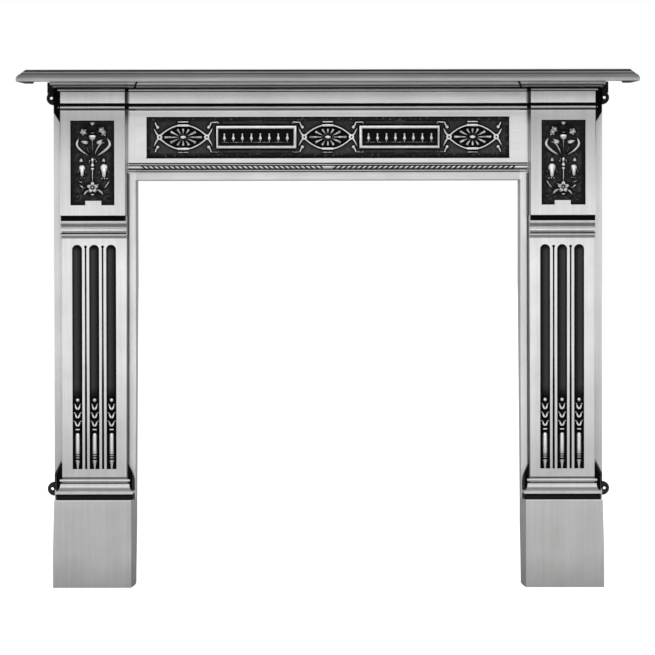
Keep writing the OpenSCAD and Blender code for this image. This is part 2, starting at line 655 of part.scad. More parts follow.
module leg_panel(side) color(black_iron) mirror([side < 0 ? 1 : 0, 0, 0]) difference() {
    union() {
        block(block_mid - leg_panel_w / 2, block_mid + leg_panel_w / 2, leg_ground - panel_t, leg_ground,
            leg_panel_z - leg_panel_h / 2, leg_panel_z + leg_panel_h / 2);
        difference() {
            block(block_mid - leg_panel_w / 2, block_mid + leg_panel_w / 2,
                leg_ground - fit, leg_ground + 2.4,
                leg_panel_z - leg_panel_h / 2, leg_panel_z + leg_panel_h / 2);
            block(block_mid - leg_panel_w / 2 + 8, block_mid + leg_panel_w / 2 - 8,
                leg_ground - eps, leg_ground + 3,
                leg_panel_z - leg_panel_h / 2 + 8, leg_panel_z + leg_panel_h / 2 - 8);
        }
        translate([block_mid, 0, leg_panel_z]) mirror([1, 0, 0]) bouquet();
    }
    // the plate's flat back, and the notch round the tab
    block(block_mid - leg_panel_w, block_mid + leg_panel_w, leg_ground - 3 * panel_t, leg_ground - panel_t,
        leg_panel_z - leg_panel_h, leg_panel_z + leg_panel_h);
    block(block_mid - 2.5 - tab_w / 2, block_mid - 1.5 + tab_w / 2, leg_ground - 2 * panel_t, block_d + eps,
        leg_pocket_z0 - eps, leg_pocket_z0 + tab_h + 0.5);
    for (s = [-1, 1], t = [-1, 1])
        pin_y(block_mid + s * leg_screw_x, leg_panel_z + t * leg_screw_z,
            leg_ground - 2 * panel_t, leg_ground - 1, m5 + fit);
}

module left_leg_panel() leg_panel(-1);
module right_leg_panel() leg_panel(1);

// ---------- plinths ----------

module plinth(side) color(polished) mirror([side < 0 ? 1 : 0, 0, 0]) difference() {
    intersection() {
        along_z([[482, 0], [490, plinth_d], [684.5, plinth_d], [687, 0]], 0, plinth_h);
        along_y([[485, 0], [687, 0], [681, plinth_h], [481, plinth_h]], -eps, plinth_d + eps);
    }
    block(485 + wall_t + 5, 680 - wall_t, -eps, plinth_d - wall_t, -eps, plinth_h - flange_t);
    for (x = plinth_bolt_x)
        pin_z(x, plinth_bolt_d, plinth_h - 2 * flange_t, plinth_h + eps, m10 + 1);
}

module left_plinth() plinth(-1);
module right_plinth() plinth(1);

// ---------- wall lugs ----------

// one lug: an eye for the wall screw on a plate bolted behind the leg
module lug(side, z_hole, z_plate, z_top) color(black_iron) mirror([side < 0 ? 1 : 0, 0, 0]) difference() {
    union() {
        block(lug_bolt_x - 14, leg_out + 2, 0, lug_t, z_plate - 26, z_plate + 26);
        pin_y(lug_eye_x, z_hole, 0, lug_t, 2 * lug_eye_r, 48);
        if (z_top > 0)
            block(leg_out, lug_x + 10, 0, lug_t, z_hole + 12, z_top);
    }
    pin_y(lug_x, z_hole, -eps, lug_t + eps, lug_hole);
    for (t = [-1, 1])
        pin_y(lug_bolt_x, z_plate + t * lug_bolt_z, -eps, lug_t + eps, m8 + 0.5);
}

module upper_left_lug() lug(-1, upper_lug_z, upper_lug_z, 1262);
module upper_right_lug() lug(1, upper_lug_z, upper_lug_z, 1262);
module lower_left_lug() lug(-1, lower_lug_z, lower_lug_z + 18, 0);
module lower_right_lug() lug(1, lower_lug_z, lower_lug_z + 18, 0);

// ---------- fasteners ----------

function head_w(m) = 1.85 * m;
function nut_h(m) = 0.8 * m;

// a washer under a nut or a head, lying flat at the origin
module washer(m) difference() {
    cylinder(h = m * 0.2, d = 2.1 * m);
    translate([0, 0, -eps]) cylinder(h = m, d = m + 0.5);
}

// a hexagon nut standing on the origin
module nut(m) difference() {
    cylinder(h = nut_h(m), d = head_w(m), $fn = 6);
    translate([0, 0, -eps]) cylinder(h = 3 * m, d = m + fit);
}

// a hexagon bolt whose head stands on the origin and whose shank hangs below
module bolt(m, reach) {
    cylinder(h = 0.65 * m, d = head_w(m), $fn = 6);
    translate([0, 0, -reach]) cylinder(h = reach + 0.1, d = m);
}

module shelf_studs() color(zinc)
    for (x = shelf_stud_x)
        pin_z(x, shelf_stud_d, plate_z - flange_t - 14, total_h - 2.5, m8);

module shelf_washers() color(zinc)
    for (x = shelf_stud_x)
        translate([x, y_at(shelf_stud_d), plate_z - flange_t - 0.2 * m8]) washer(m8);

module shelf_nuts() color(zinc)
    for (x = shelf_stud_x)
        translate([x, y_at(shelf_stud_d), plate_z - flange_t - 0.2 * m8 - nut_h(m8)]) nut(m8);

// puts its children at each frieze joint, pointing outwards from the frieze
module at_frieze_joints() {
    for (s = [-1, 1], z = frieze_bolt_z)
        translate([s * open_x, y_at(frieze_bolt_d), z]) rotate([0, s * 90, 0]) children();
}

module frieze_bolts() color(zinc) at_frieze_joints()
    translate([0, 0, -wall_t]) mirror([0, 0, 1]) bolt(m10, 2 * wall_t + 14);

module frieze_washers() color(zinc) at_frieze_joints()
    translate([0, 0, wall_t]) washer(m10);

module frieze_nuts() color(zinc) at_frieze_joints()
    translate([0, 0, wall_t + 0.2 * m10]) nut(m10);

// puts its children at each plinth bolt, on the leg's foot flange
module at_plinth_bolts() {
    for (s = [-1, 1], x = plinth_bolt_x)
        translate([s * x, y_at(plinth_bolt_d), plinth_h + flange_t]) children();
}

module plinth_bolts() color(zinc) at_plinth_bolts() bolt(m10, 2 * flange_t + 14);

module plinth_washers() color(zinc) at_plinth_bolts()
    translate([0, 0, -2 * flange_t - 0.2 * m10]) washer(m10);

module plinth_nuts() color(zinc) at_plinth_bolts()
    translate([0, 0, -2 * flange_t - 0.2 * m10 - nut_h(m10)]) nut(m10);

// puts its children at each lug bolt, on the back face of the lug
module at_lug_bolts() {
    for (s = [-1, 1], z = [upper_lug_z, lower_lug_z + 18], t = [-1, 1])
        translate([s * lug_bolt_x, y_at(0), z + t * lug_bolt_z]) rotate([90, 0, 0]) children();
}

module lug_bolts() color(zinc) at_lug_bolts()
    translate([0, 0, lug_t - 4]) cylinder(h = 24, d = m8);

module lug_nuts() color(zinc) at_lug_bolts()
    translate([0, 0, lug_t + wall_t]) nut(m8);

// a pan-head screw driven towards the front from behind
module screw(m, reach) {
    translate([0, 0, -0.5 * m]) cylinder(h = 0.5 * m, d = 2 * m);
    cylinder(h = reach, d = m);
}

module leg_panel_screws() color(zinc)
    for (s = [-1, 1], u = [-1, 1], t = [-1, 1])
        translate([s * (block_mid + u * leg_screw_x), y_at(leg_panel_back),
            leg_panel_z + t * leg_screw_z]) rotate([90, 0, 0]) screw(m5, wall_t + panel_t - 1.5);

module frieze_panel_screws() color(zinc)
    for (x = frieze_screw_x)
        translate([x, y_at(frieze_panel_back), frieze_panel_z])
            rotate([90, 0, 0]) screw(m5, wall_t + panel_t - 1.5);

mantel_shelf();
frieze();
frieze_panel();
left_leg();
right_leg();
left_leg_panel();
right_leg_panel();
left_plinth();
right_plinth();
upper_left_lug();
upper_right_lug();
lower_left_lug();
lower_right_lug();
shelf_studs();
shelf_washers();
shelf_nuts();
frieze_bolts();
frieze_washers();
frieze_nuts();
plinth_bolts();
plinth_washers();
plinth_nuts();
lug_bolts();
lug_nuts();
leg_panel_screws();
frieze_panel_screws();
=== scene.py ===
import math

import bpy
from bpy.props import FloatProperty, FloatVectorProperty, IntProperty, PointerProperty
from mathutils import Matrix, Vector


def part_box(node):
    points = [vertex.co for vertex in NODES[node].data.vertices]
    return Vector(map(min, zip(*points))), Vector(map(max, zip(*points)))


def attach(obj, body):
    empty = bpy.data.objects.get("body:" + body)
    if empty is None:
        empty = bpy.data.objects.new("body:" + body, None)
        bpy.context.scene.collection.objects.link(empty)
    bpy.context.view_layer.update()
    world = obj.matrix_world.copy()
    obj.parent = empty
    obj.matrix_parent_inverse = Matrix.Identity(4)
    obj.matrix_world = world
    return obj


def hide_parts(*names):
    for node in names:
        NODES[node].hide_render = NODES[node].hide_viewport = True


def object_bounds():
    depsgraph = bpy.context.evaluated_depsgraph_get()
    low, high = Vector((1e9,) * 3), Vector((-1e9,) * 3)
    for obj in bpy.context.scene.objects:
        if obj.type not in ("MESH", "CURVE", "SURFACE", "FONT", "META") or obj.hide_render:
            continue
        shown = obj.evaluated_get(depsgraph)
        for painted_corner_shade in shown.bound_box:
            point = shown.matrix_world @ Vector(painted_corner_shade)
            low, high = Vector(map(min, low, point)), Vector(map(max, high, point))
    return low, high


bl_info = {
    "name": "Cast Iron Mantel Surround",
    "version": (1, 0, 0),
    "blender": (4, 5, 0),
    "location": "3D View > Sidebar > Surround",
    "description": "Finishes, carved panels, rope moulding and studio of a polished mantel surround",
    "category": "Object",
}

# ---------- the frame: everything below takes its place from the castings ----------

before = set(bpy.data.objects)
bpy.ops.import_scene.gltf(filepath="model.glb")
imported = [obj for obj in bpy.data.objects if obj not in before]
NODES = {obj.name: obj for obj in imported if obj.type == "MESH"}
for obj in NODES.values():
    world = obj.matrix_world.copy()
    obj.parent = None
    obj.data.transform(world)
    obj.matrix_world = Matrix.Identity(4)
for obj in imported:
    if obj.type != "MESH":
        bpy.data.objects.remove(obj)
cad_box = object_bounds()
MM = 0.001
WALL_Y = cad_box[1].y
TOP_Z = cad_box[1].z

CASTINGS = ("mantel_shelf", "frieze", "left_leg", "right_leg", "left_plinth", "right_plinth")
LUGS = ("upper_left_lug", "upper_right_lug", "lower_left_lug", "lower_right_lug")
FASTENERS = tuple(n for n in NODES if n.endswith(("bolts", "nuts", "washers", "studs", "screws")))

# faces of the castings, in metres: depths from the wall, and places from the middle of the surround
SHAFT_D = 0.110
BLOCK_D = 0.118
FRIEZE_D = 0.104
SHAFT_IN = 0.499
SHAFT_OUT = 0.661
BLOCK_OUT = 0.6645
PLINTH_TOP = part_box("left_plinth")[1].z
OPEN_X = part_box("frieze")[1].x

# flutes of the legs and the narrow slots, or keys, between them
FLUTE_PITCH = 0.0422
FLUTE_MID = (SHAFT_IN + SHAFT_OUT) / 2 + MM
FLUTE_HALF = 0.0123
FLUTE_FLOOR = 0.103
FLUTE_FOOT = 0.295
FLUTE_HEAD = 0.8399
KEY_HEAD = 0.847

# rope moulding: its axis, and where it is plain at the middle and from its ends on
ROPE_D = 0.099
ROPE_Z = 1.0444
ROPE_PLAIN_MID = 0.0128
ROPE_PLAIN_END = 0.465
ROPE_END = 0.5005

# relief panels: how far their ground lies behind the face round it, width and height of their rims, the inset of
# their border lines, and the frieze's medallions and boxes
GROUND_SINK = 0.006
FRIEZE_RIM = (0.0075, 0.0016)
LEG_RIM = (0.0080, 0.0015)
FRIEZE_INSET = 0.0078
LEG_INSET = 0.0083
MEDALLION_X = 0.3595
OVAL_HALF = 0.0615
OVAL_RISE = 0.0302
BOX_X = 0.179


# ---------- settings ----------

class IronSettings(bpy.types.PropertyGroup):
    """Colours and surface of the iron"""
    bright: FloatVectorProperty(
        name="Polished iron", description="Colour of the iron where it is polished bright",
        subtype="COLOR", min=0, max=1, default=(0.80, 0.80, 0.795))
    black: FloatVectorProperty(
        name="Grate black", description="Colour of the black left in the deep grooves",
        subtype="COLOR", min=0, max=1, default=(0.004, 0.004, 0.0045))
    recess: FloatVectorProperty(
        name="Recess black", description="Colour of the black left in the flutes and on the panels' grounds",
        subtype="COLOR", min=0, max=1, default=(0.058, 0.058, 0.059))
    zinc: FloatVectorProperty(
        name="Zinc plate", description="Colour of the fasteners",
        subtype="COLOR", min=0, max=1, default=(0.50, 0.50, 0.48))
    roughness: FloatProperty(
        name="Roughness", description="Roughness of the polished iron",
        min=0.1, max=1, default=0.44, subtype="FACTOR")
    edge: FloatProperty(
        name="Edge radius", description="Rounding of the castings' edges",
        min=0.0001, max=0.003, default=0.0008, unit="LENGTH")


class OrnamentSettings(bpy.types.PropertyGroup):
    """Sizes of the ornament that is modelled on the castings"""
    rope_pitch: FloatProperty(
        name="Rope pitch", description="Distance between neighbouring ridges of the rope moulding",
        min=0.005, max=0.03, default=0.013, unit="LENGTH")
    rope_radius: FloatProperty(
        name="Rope radius", description="Radius of the rope moulding over its ridges",
        min=0.002, max=0.006, default=0.0043, unit="LENGTH")
    relief: FloatProperty(
        name="Relief", description="Height of the carving over the ground of its panel",
        min=0.002, max=0.006, default=0.0052, unit="LENGTH")
    spindles: IntProperty(
        name="Spindles", description="Turned spindles in each framed box of the frieze",
        min=4, max=12, default=8)
    spindle_pitch: FloatProperty(
        name="Spindle pitch", description="Distance between neighbouring spindles",
        min=0.015, max=0.03, default=0.0223, unit="LENGTH")


class StudioSettings(bpy.types.PropertyGroup):
    """Camera, light and floor"""
    distance: FloatProperty(
        name="Camera distance", description="From the camera to the middle of the surround",
        min=3, max=15, default=7.495, unit="LENGTH")
    eye_height: FloatProperty(
        name="Camera height", description="Height of the camera over the floor",
        min=0.2, max=2.5, default=0.7639, unit="LENGTH")
    tilt: FloatProperty(
        name="Camera tilt", description="How far the camera looks down",
        min=0, max=0.2, default=math.radians(0.901), subtype="ANGLE", unit="ROTATION")
    roll: FloatProperty(
        name="Camera roll", description="How far the camera leans",
        min=-0.1, max=0.1, default=math.radians(0.09), subtype="ANGLE", unit="ROTATION")
    shift: FloatProperty(
        name="Camera shift", description="How far the picture is shifted sideways, in picture widths",
        min=-0.1, max=0.1, default=-0.0008)
    lens: FloatProperty(
        name="Focal length", description="Focal length on a 36 mm wide sensor",
        min=35, max=300, default=166.0, unit="CAMERA")
    front: FloatProperty(
        name="Front light", description="Brightness of the studio in front of the surround",
        min=0, max=3, default=1.40)
    back: FloatProperty(
        name="Back light", description="Brightness of the studio behind the surround",
        min=0, max=3, default=0.30)
    softbox: FloatProperty(
        name="Softbox", description="Power of the softbox over the camera",
        min=0, max=200, default=20, unit="POWER")
    floor: FloatVectorProperty(
        name="Floor", description="Colour of the floor",
        subtype="COLOR", min=0, max=1, default=(0.80, 0.80, 0.80))


def iron():
    return bpy.context.scene.surround_iron


def ornament():
    return bpy.context.scene.surround_ornament


def studio():
    return bpy.context.scene.surround_studio


# ---------- modelling helpers ----------

def clear_selection():
    if bpy.context.object and bpy.context.object.mode != "OBJECT":
        bpy.ops.object.mode_set(mode="OBJECT")
    bpy.ops.object.select_all(action="DESELECT")


def select_only(*objects):
    clear_selection()
    for obj in objects:
        obj.select_set(True)
    bpy.context.view_layer.objects.active = objects[0]


def edit_all():
    bpy.ops.object.mode_set(mode="EDIT")
    bpy.ops.mesh.select_all(action="SELECT")


def end_edit():
    bpy.ops.object.mode_set(mode="OBJECT")


def delete(obj):
    select_only(obj)
    bpy.ops.object.delete()


def place_in_mesh(obj):
    """Moves the object's place, turn and scale into its mesh."""
    select_only(obj)
    bpy.ops.object.transform_apply(location=True, rotation=True, scale=True)
    return obj


def settle(obj, move=(0, 0, 0), turn_y=0.0, scale=(1, 1, 1)):
    """Scales and turns an object about the point it was made round, then moves it, all in its mesh."""
    obj.scale = scale
    obj.rotation_euler = (0, turn_y, 0)
    obj.location = move
    return place_in_mesh(obj)


def settle_all(objects, move):
    return [settle(obj, move) for obj in objects]


def close_up(obj, merge=True):
    """Merges doubled points and turns every face outwards."""
    select_only(obj)
    edit_all()
    if merge:
        bpy.ops.mesh.remove_doubles(threshold=0.00002)
    bpy.ops.mesh.normals_make_consistent(inside=False)
    end_edit()


def add_modifier(obj, kind, apply=True, **settings):
    select_only(obj)
    bpy.ops.object.modifier_add(type=kind)
    modifier = obj.modifiers[-1]
    for key, value in settings.items():
        setattr(modifier, key, value)
    if apply:
        bpy.ops.object.modifier_apply(modifier=modifier.name)
    return modifier


def smooth(obj, degrees=35):
    select_only(obj)
    bpy.ops.object.shade_smooth_by_angle(angle=math.radians(degrees))


def join(objects, name):
    select_only(*objects)
    if len(objects) > 1:
        bpy.ops.object.join()
    joined = bpy.context.object
    joined.name = joined.data.name = name
    return joined


def copy_of(obj, move=(0, 0, 0), turn_y=0.0):
    """A copy with its own mesh, turned about the point it was made round, then moved."""
    select_only(obj)
    bpy.ops.object.duplicate(linked=False)
    return settle(bpy.context.object, move, turn_y)


def mirror_copy(obj):
    """A copy with its own mesh, mirrored from left to right."""
    copy = settle(copy_of(obj), scale=(-1, 1, 1))
    close_up(copy)
    return copy


def lathe(profile, segments=20):
    """Turns a profile of (radius, height) in millimetres about the Z axis."""
    clear_selection()
    bpy.ops.mesh.primitive_plane_add(size=MM)
    obj = bpy.context.object
    edit_all()
    bpy.ops.mesh.merge(type="CENTER")
    at = (0.0, 0.0)
    for radius, height in profile:
        step = ((radius - at[0]) * MM, 0, (height - at[1]) * MM)
        if (radius, height) == tuple(profile[0]):
            bpy.ops.transform.translate(value=step)
        else:
            bpy.ops.mesh.extrude_vertices_move(TRANSFORM_OT_translate={"value": step})
        at = (radius, height)
    bpy.ops.mesh.select_all(action="SELECT")
    bpy.ops.mesh.spin(steps=segments, angle=2 * math.pi, center=(0, 0, 0), axis=(0, 0, 1))
    end_edit()
    close_up(obj)
    return obj


def strand(points, radii, flat, sink, top=None):
    """A round tapered strip through points of (x, height) in millimetres, flattened, and cut level at its top."""
    clear_selection()
    bpy.ops.curve.primitive_bezier_curve_add()
    obj = bpy.context.object
    curve = obj.data
    line = curve.splines[0]
    line.bezier_points.add(len(points) - 2)
    for knot, (x, z), radius in zip(line.bezier_points, points, radii):
        knot.co = (x * MM, 0, z * MM)
        knot.handle_left_type = knot.handle_right_type = "AUTO"
        knot.radius = radius
    curve.bevel_depth = MM
    curve.bevel_resolution = 3
    curve.resolution_u = 5
    curve.use_fill_caps = True
    bpy.ops.object.convert(target="MESH")
    obj = settle(bpy.context.object, (0, -sink * MM, 0), scale=(1, flat, 1))
    close_up(obj)
    level_off(obj, top)
    return obj


def level_off(obj, top):
    """Presses what stands higher than top over the panel, in millimetres, down to it."""
    for vertex in obj.data.vertices:
        if top and vertex.co.y < -top * MM:
            vertex.co.y = -top * MM


def flat_ball(centre, size):
    """A ball of the given half sizes about a centre, in millimetres."""
    clear_selection()
    bpy.ops.mesh.primitive_uv_sphere_add(segments=20, ring_count=12, radius=MM)
    return settle(bpy.context.object, Vector(centre) * MM, scale=size)


def knob(x, z, width, height, rise, sink=0.3, top=None):
    """A domed knob on a panel, pressed level at its top, in millimetres."""
    obj = flat_ball((x, -sink, z), (width / 2, rise, height / 2))
    level_off(obj, top)
    return obj


def block(centre, size):
    clear_selection()
    bpy.ops.mesh.primitive_cube_add(size=1)
    return settle(bpy.context.object, centre, scale=size)


def bar(x0, x1, z0, z1, rise, edge=0.5):
    """A square bar on a panel with softened edges, in millimetres; its back lies 1 mm behind the panel's ground."""
    obj = block(Vector((x0 + x1, 1 - rise, z0 + z1)) / 2 * MM, Vector((x1 - x0, rise + 1, z1 - z0)) * MM)
    add_modifier(obj, "BEVEL", width=edge * MM, segments=2, limit_method="ANGLE")
    return obj


def petal(length, width, rise, curl=0.0):
    """A pointed petal that grows from the origin along +X, hollowed along its middle, in millimetres."""
    obj = flat_ball((length / 2, 0, 0), (length / 2, rise, width / 2))
    for vertex in obj.data.vertices:
        along = vertex.co.x / (length * MM)
        vertex.co.z = vertex.co.z * (1.25 - 0.75 * along) + curl * MM * along * along
        if vertex.co.y < 0:
            vertex.co.y *= 1 - 0.35 * math.exp(-(vertex.co.z / (width * 0.16 * MM)) ** 2)
    return obj


def paint(obj, material):
    obj.data.materials.clear()
    obj.data.materials.append(material)


def finish_piece(obj, material):
    paint(obj, material)
    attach(obj, "root")


# ---------- material helpers ----------

class Graph:
    """A material's node graph, built from readable sums on its sockets."""

    def __init__(self, name):
        self.material = bpy.data.materials.new(name)
        self.material.use_nodes = True
        self.nodes = self.material.node_tree.nodes
        self.links = self.material.node_tree.links
        self.shader = self.nodes["Principled BSDF"]
        place = self.nodes.new("ShaderNodeTexCoord").outputs["Object"]
        split = self.nodes.new("ShaderNodeSeparateXYZ")
        self.links.new(place, split.inputs[0])
        self.place = place
        self.x = self.math("ABSOLUTE", split.outputs["X"])
        self.z = split.outputs["Z"]
        self.depth = self.math("SUBTRACT", WALL_Y, split.outputs["Y"])

    def put(self, socket, value):
        if isinstance(value, bpy.types.NodeSocket):
            self.links.new(value, socket)
        else:
            socket.default_value = value

    def math(self, operation, a, b=0.0, clamp=False):
        node = self.nodes.new("ShaderNodeMath")
        node.operation = operation
        node.use_clamp = clamp
        self.put(node.inputs[0], a)
        self.put(node.inputs[1], b)
        return node.outputs[0]

    def plus(self, a, b):
        return self.math("ADD", a, b)

    def minus(self, a, b):
        return self.math("SUBTRACT", a, b)

    def off(self, value, middle):
        """How far a value lies from a middle, to either side."""
        return self.math("ABSOLUTE", self.minus(value, middle))

    def step(self, value, low, high):
        """0 below low and 1 above high, or the other way round where low is the larger."""
        node = self.nodes.new("ShaderNodeMapRange")
        node.interpolation_type = "SMOOTHSTEP"
        swapped = low > high
        self.put(node.inputs["Value"], value)
        self.put(node.inputs["From Min"], min(low, high))
        self.put(node.inputs["From Max"], max(low, high))
        self.put(node.inputs["To Min"], 1.0 if swapped else 0.0)
        self.put(node.inputs["To Max"], 0.0 if swapped else 1.0)
        return node.outputs[0]

    def within(self, value, low, high, soft=0.0005):
        """1 between two values and 0 outside them."""
        return self.every(self.step(value, low - soft, low + soft), self.step(value, high + soft, high - soft))

    def reach(self, a, b):
        """The distance of a point whose two coordinates are a and b."""
        return self.math("SQRT", self.plus(self.every(a, a), self.every(b, b)))

    def every(self, *masks):
        """The product of masks, tones and plain factors."""
        total = masks[0]
        for mask in masks[1:]:
            total = self.math("MULTIPLY", total, mask)
        return total

    def any(self, *masks):
        """The largest of several masks."""
        total = masks[0]
        for mask in masks[1:]:
            total = self.math("MAXIMUM", total, mask)
        return total

    def ramp(self, value, stops):
        """A level that runs straight between stops of (value, level)."""
        low, high = stops[0][0], stops[-1][0]
        scaled = self.math("DIVIDE", self.minus(value, low), high - low)
        node = self.nodes.new("ShaderNodeValToRGB")
        elements = node.color_ramp.elements
        while len(elements) < len(stops):
            elements.new(1.0)
        for element, (at, level) in zip(elements, stops):
            element.position = (at - low) / (high - low)
            element.color = (level, level, level, 1)
        self.put(node.inputs["Fac"], scaled)
        return node.outputs["Color"]

    def bands(self, value, ranges):
        """1 inside each range of heights and 0 between them."""
        soft = 0.0004
        stops = [(ranges[0][0] - 0.01, 0.0)]
        for low, high in ranges:
            stops += [(low - soft, 0.0), (low + soft, 1.0), (high - soft, 1.0), (high + soft, 0.0)]
        stops.append((ranges[-1][1] + 0.01, 0.0))
        return self.ramp(value, stops)

    def noise(self, stretch, detail=3.0, rough=0.5, seed=0.0):
        """Noise from 0 to 1, with its features per metre given along X, Y and Z."""
        turn = self.nodes.new("ShaderNodeMapping")
        turn.inputs["Scale"].default_value = stretch
        turn.inputs["Location"].default_value = (seed, seed, seed)
        self.put(turn.inputs["Vector"], self.place)
        node = self.nodes.new("ShaderNodeTexNoise")
        self.put(node.inputs["Vector"], turn.outputs[0])
        node.inputs["Scale"].default_value = 1.0
        node.inputs["Detail"].default_value = detail
        node.inputs["Roughness"].default_value = rough
        return node.outputs["Fac"]

    def occlusion(self, distance):
        """1 in the open and less where the piece itself stands close by."""
        node = self.nodes.new("ShaderNodeAmbientOcclusion")
        node.samples = 8
        node.only_local = True
        node.inputs["Distance"].default_value = distance
        return node.outputs["AO"]

    def swing(self, value, amount):
        """Turns noise about its middle into a factor about 1."""
        return self.plus(1.0, self.every(self.minus(value, 0.5), 2 * amount))

    def blend(self, factor, a, b, kind="FLOAT"):
        """From a, where the factor is 0, to b, where it is 1."""
        node = self.nodes.new("ShaderNodeMix")
        node.data_type = kind
        self.put(node.inputs["Factor"], factor)
        self.put(node.inputs["A"], a)
        self.put(node.inputs["B"], b)
        return node.outputs["Result"]

    def mix(self, factor, a, b):
        """The same for two colours."""
        return self.blend(factor, a, b, "RGBA")

    def scale(self, vector, factor):
        node = self.nodes.new("ShaderNodeVectorMath")
        node.operation = "SCALE"
        self.put(node.inputs[0], vector)
        self.put(node.inputs["Scale"], factor)
        return node.outputs[0]

    def bump(self, height, distance, strength=1.0):
        node = self.nodes.new("ShaderNodeBump")
        node.inputs["Distance"].default_value = distance
        node.inputs["Strength"].default_value = strength
        self.put(node.inputs["Height"], height)
        self.put(self.shader.inputs["Normal"], node.outputs[0])


def colour(value):
    return (*value, 1.0)


def iron_finish(graph, polish, tone_and_painted_light, grain, deep=0.0):
    """Iron brushed bright along its grain, Z or X, where polish is 1; black where it is 0, most so where deep is 1.
    Its brightness is scaled by the given tone, which on the castings carries painted light and shade.
    """
    along, across = 9.0, 420.0
    fine = (across, across, along) if grain == "Z" else (along, across, across)
    broad = tuple(v / 5 for v in fine)
    streaks = graph.noise(fine, detail=2.0, rough=0.6)
    bands = graph.noise(broad, detail=2.0, seed=7.0)
    cloud = graph.noise((9, 9, 9), detail=3.0, rough=0.55, seed=3.0)
    level = graph.every(tone_and_painted_light, graph.swing(streaks, 0.10), graph.swing(bands, 0.11), graph.swing(cloud, 0.17))
    grainy = graph.noise((700, 700, 700), detail=2.0, seed=11.0)
    dark = graph.scale(graph.mix(deep, colour(iron().recess), colour(iron().black)), graph.swing(grainy, 0.35))
    graph.put(graph.shader.inputs["Base Color"], graph.mix(polish, dark, graph.scale(iron().bright, level)))
    graph.shader.inputs["Metallic"].default_value = 0.92
    graph.shader.inputs["Specular IOR Level"].default_value = 0.2
    shine = graph.every(graph.swing(streaks, 0.18), iron().roughness)
    graph.put(graph.shader.inputs["Roughness"], graph.blend(polish, 0.5, shine))
    graph.bump(graph.blend(polish, grainy, streaks), 0.00012, 0.5)
    return graph.material


# ---------- finishes of the castings ----------

# heights of the black lines left in the mouldings, and the painted light and shade on the frieze by height, from its
# lintel up to the shelf
CORNICE_BLACK = [(1.1953, 1.2024), (1.2309, 1.2333), (1.2378, 1.2420), (1.2447, 1.2463)]
CORNICE_LINE = (1.1850, 1.1897)
LINTEL_BLACK = [(1.0332, 1.0350), (1.0380, 1.0497), (1.0523, 1.0550)]
NECK_BLACK = [(0.8784, 0.8818), (0.9108, 0.9246)]
BASE_BLACK = [(0.2584, 0.2618), (0.2704, 0.2748)]
FRIEZE_PAINTED_LIGHT = [(1.0, 0.82), (1.032, 0.84), (1.0485, 0.84), (1.0497, 0.52), (1.0520, 0.52), (1.0540, 0.87),
               (1.12, 0.89), (1.165, 0.81), (1.176, 0.71), (1.188, 1.02), (1.205, 1.10), (1.228, 0.90),
               (1.234, 1.2), (1.2380, 1.1), (1.2434, 0.7), (1.2470, 0.8), (1.2505, 1.2), (TOP_Z, 1.2)]


def bed_notch(graph):
    """The slanting cut across the bed moulding where the frieze meets the legs."""
    lean = graph.plus(graph.x, graph.every(graph.minus(graph.z, 1.2475), 0.58))
    return graph.every(graph.within(lean, OPEN_X - 0.0048, OPEN_X + 0.0004), graph.step(graph.z, 1.2400, 1.2410))


def pocket_sides(graph, face, x0, x1, z0, z1):
    """The black sides of a relief panel's pocket, just behind the face that it is sunk into."""
    return graph.every(graph.within(graph.z, z0, z1), graph.within(graph.x, x0, x1),
                       graph.step(graph.depth, face - 0.0008, face - 0.0016))


def leg_mouldings(graph):
    """Black lines of the leg's base, neck and cornice, and of its stretch of the lintel."""
    x, z, depth = graph.x, graph.z, graph.depth
    proud = graph.step(depth, 0.0990, 0.1000)
    cornice = graph.every(graph.bands(z, CORNICE_BLACK),
                          graph.any(proud, graph.within(x, 0.652, 0.676), graph.within(x, 0.488, 0.520)))
    line = graph.every(graph.within(z, *CORNICE_LINE), proud, 0.92)
    lintel = graph.every(graph.bands(z, LINTEL_BLACK), graph.step(x, 0.4960, 0.4950),
                         graph.step(depth, 0.074, 0.075))
    neck = graph.every(graph.bands(z, NECK_BLACK), proud, graph.within(x, SHAFT_IN, BLOCK_OUT))
    base = graph.every(graph.bands(z, BASE_BLACK), proud, 0.85)
    return graph.any(cornice, line, lintel, neck, base)


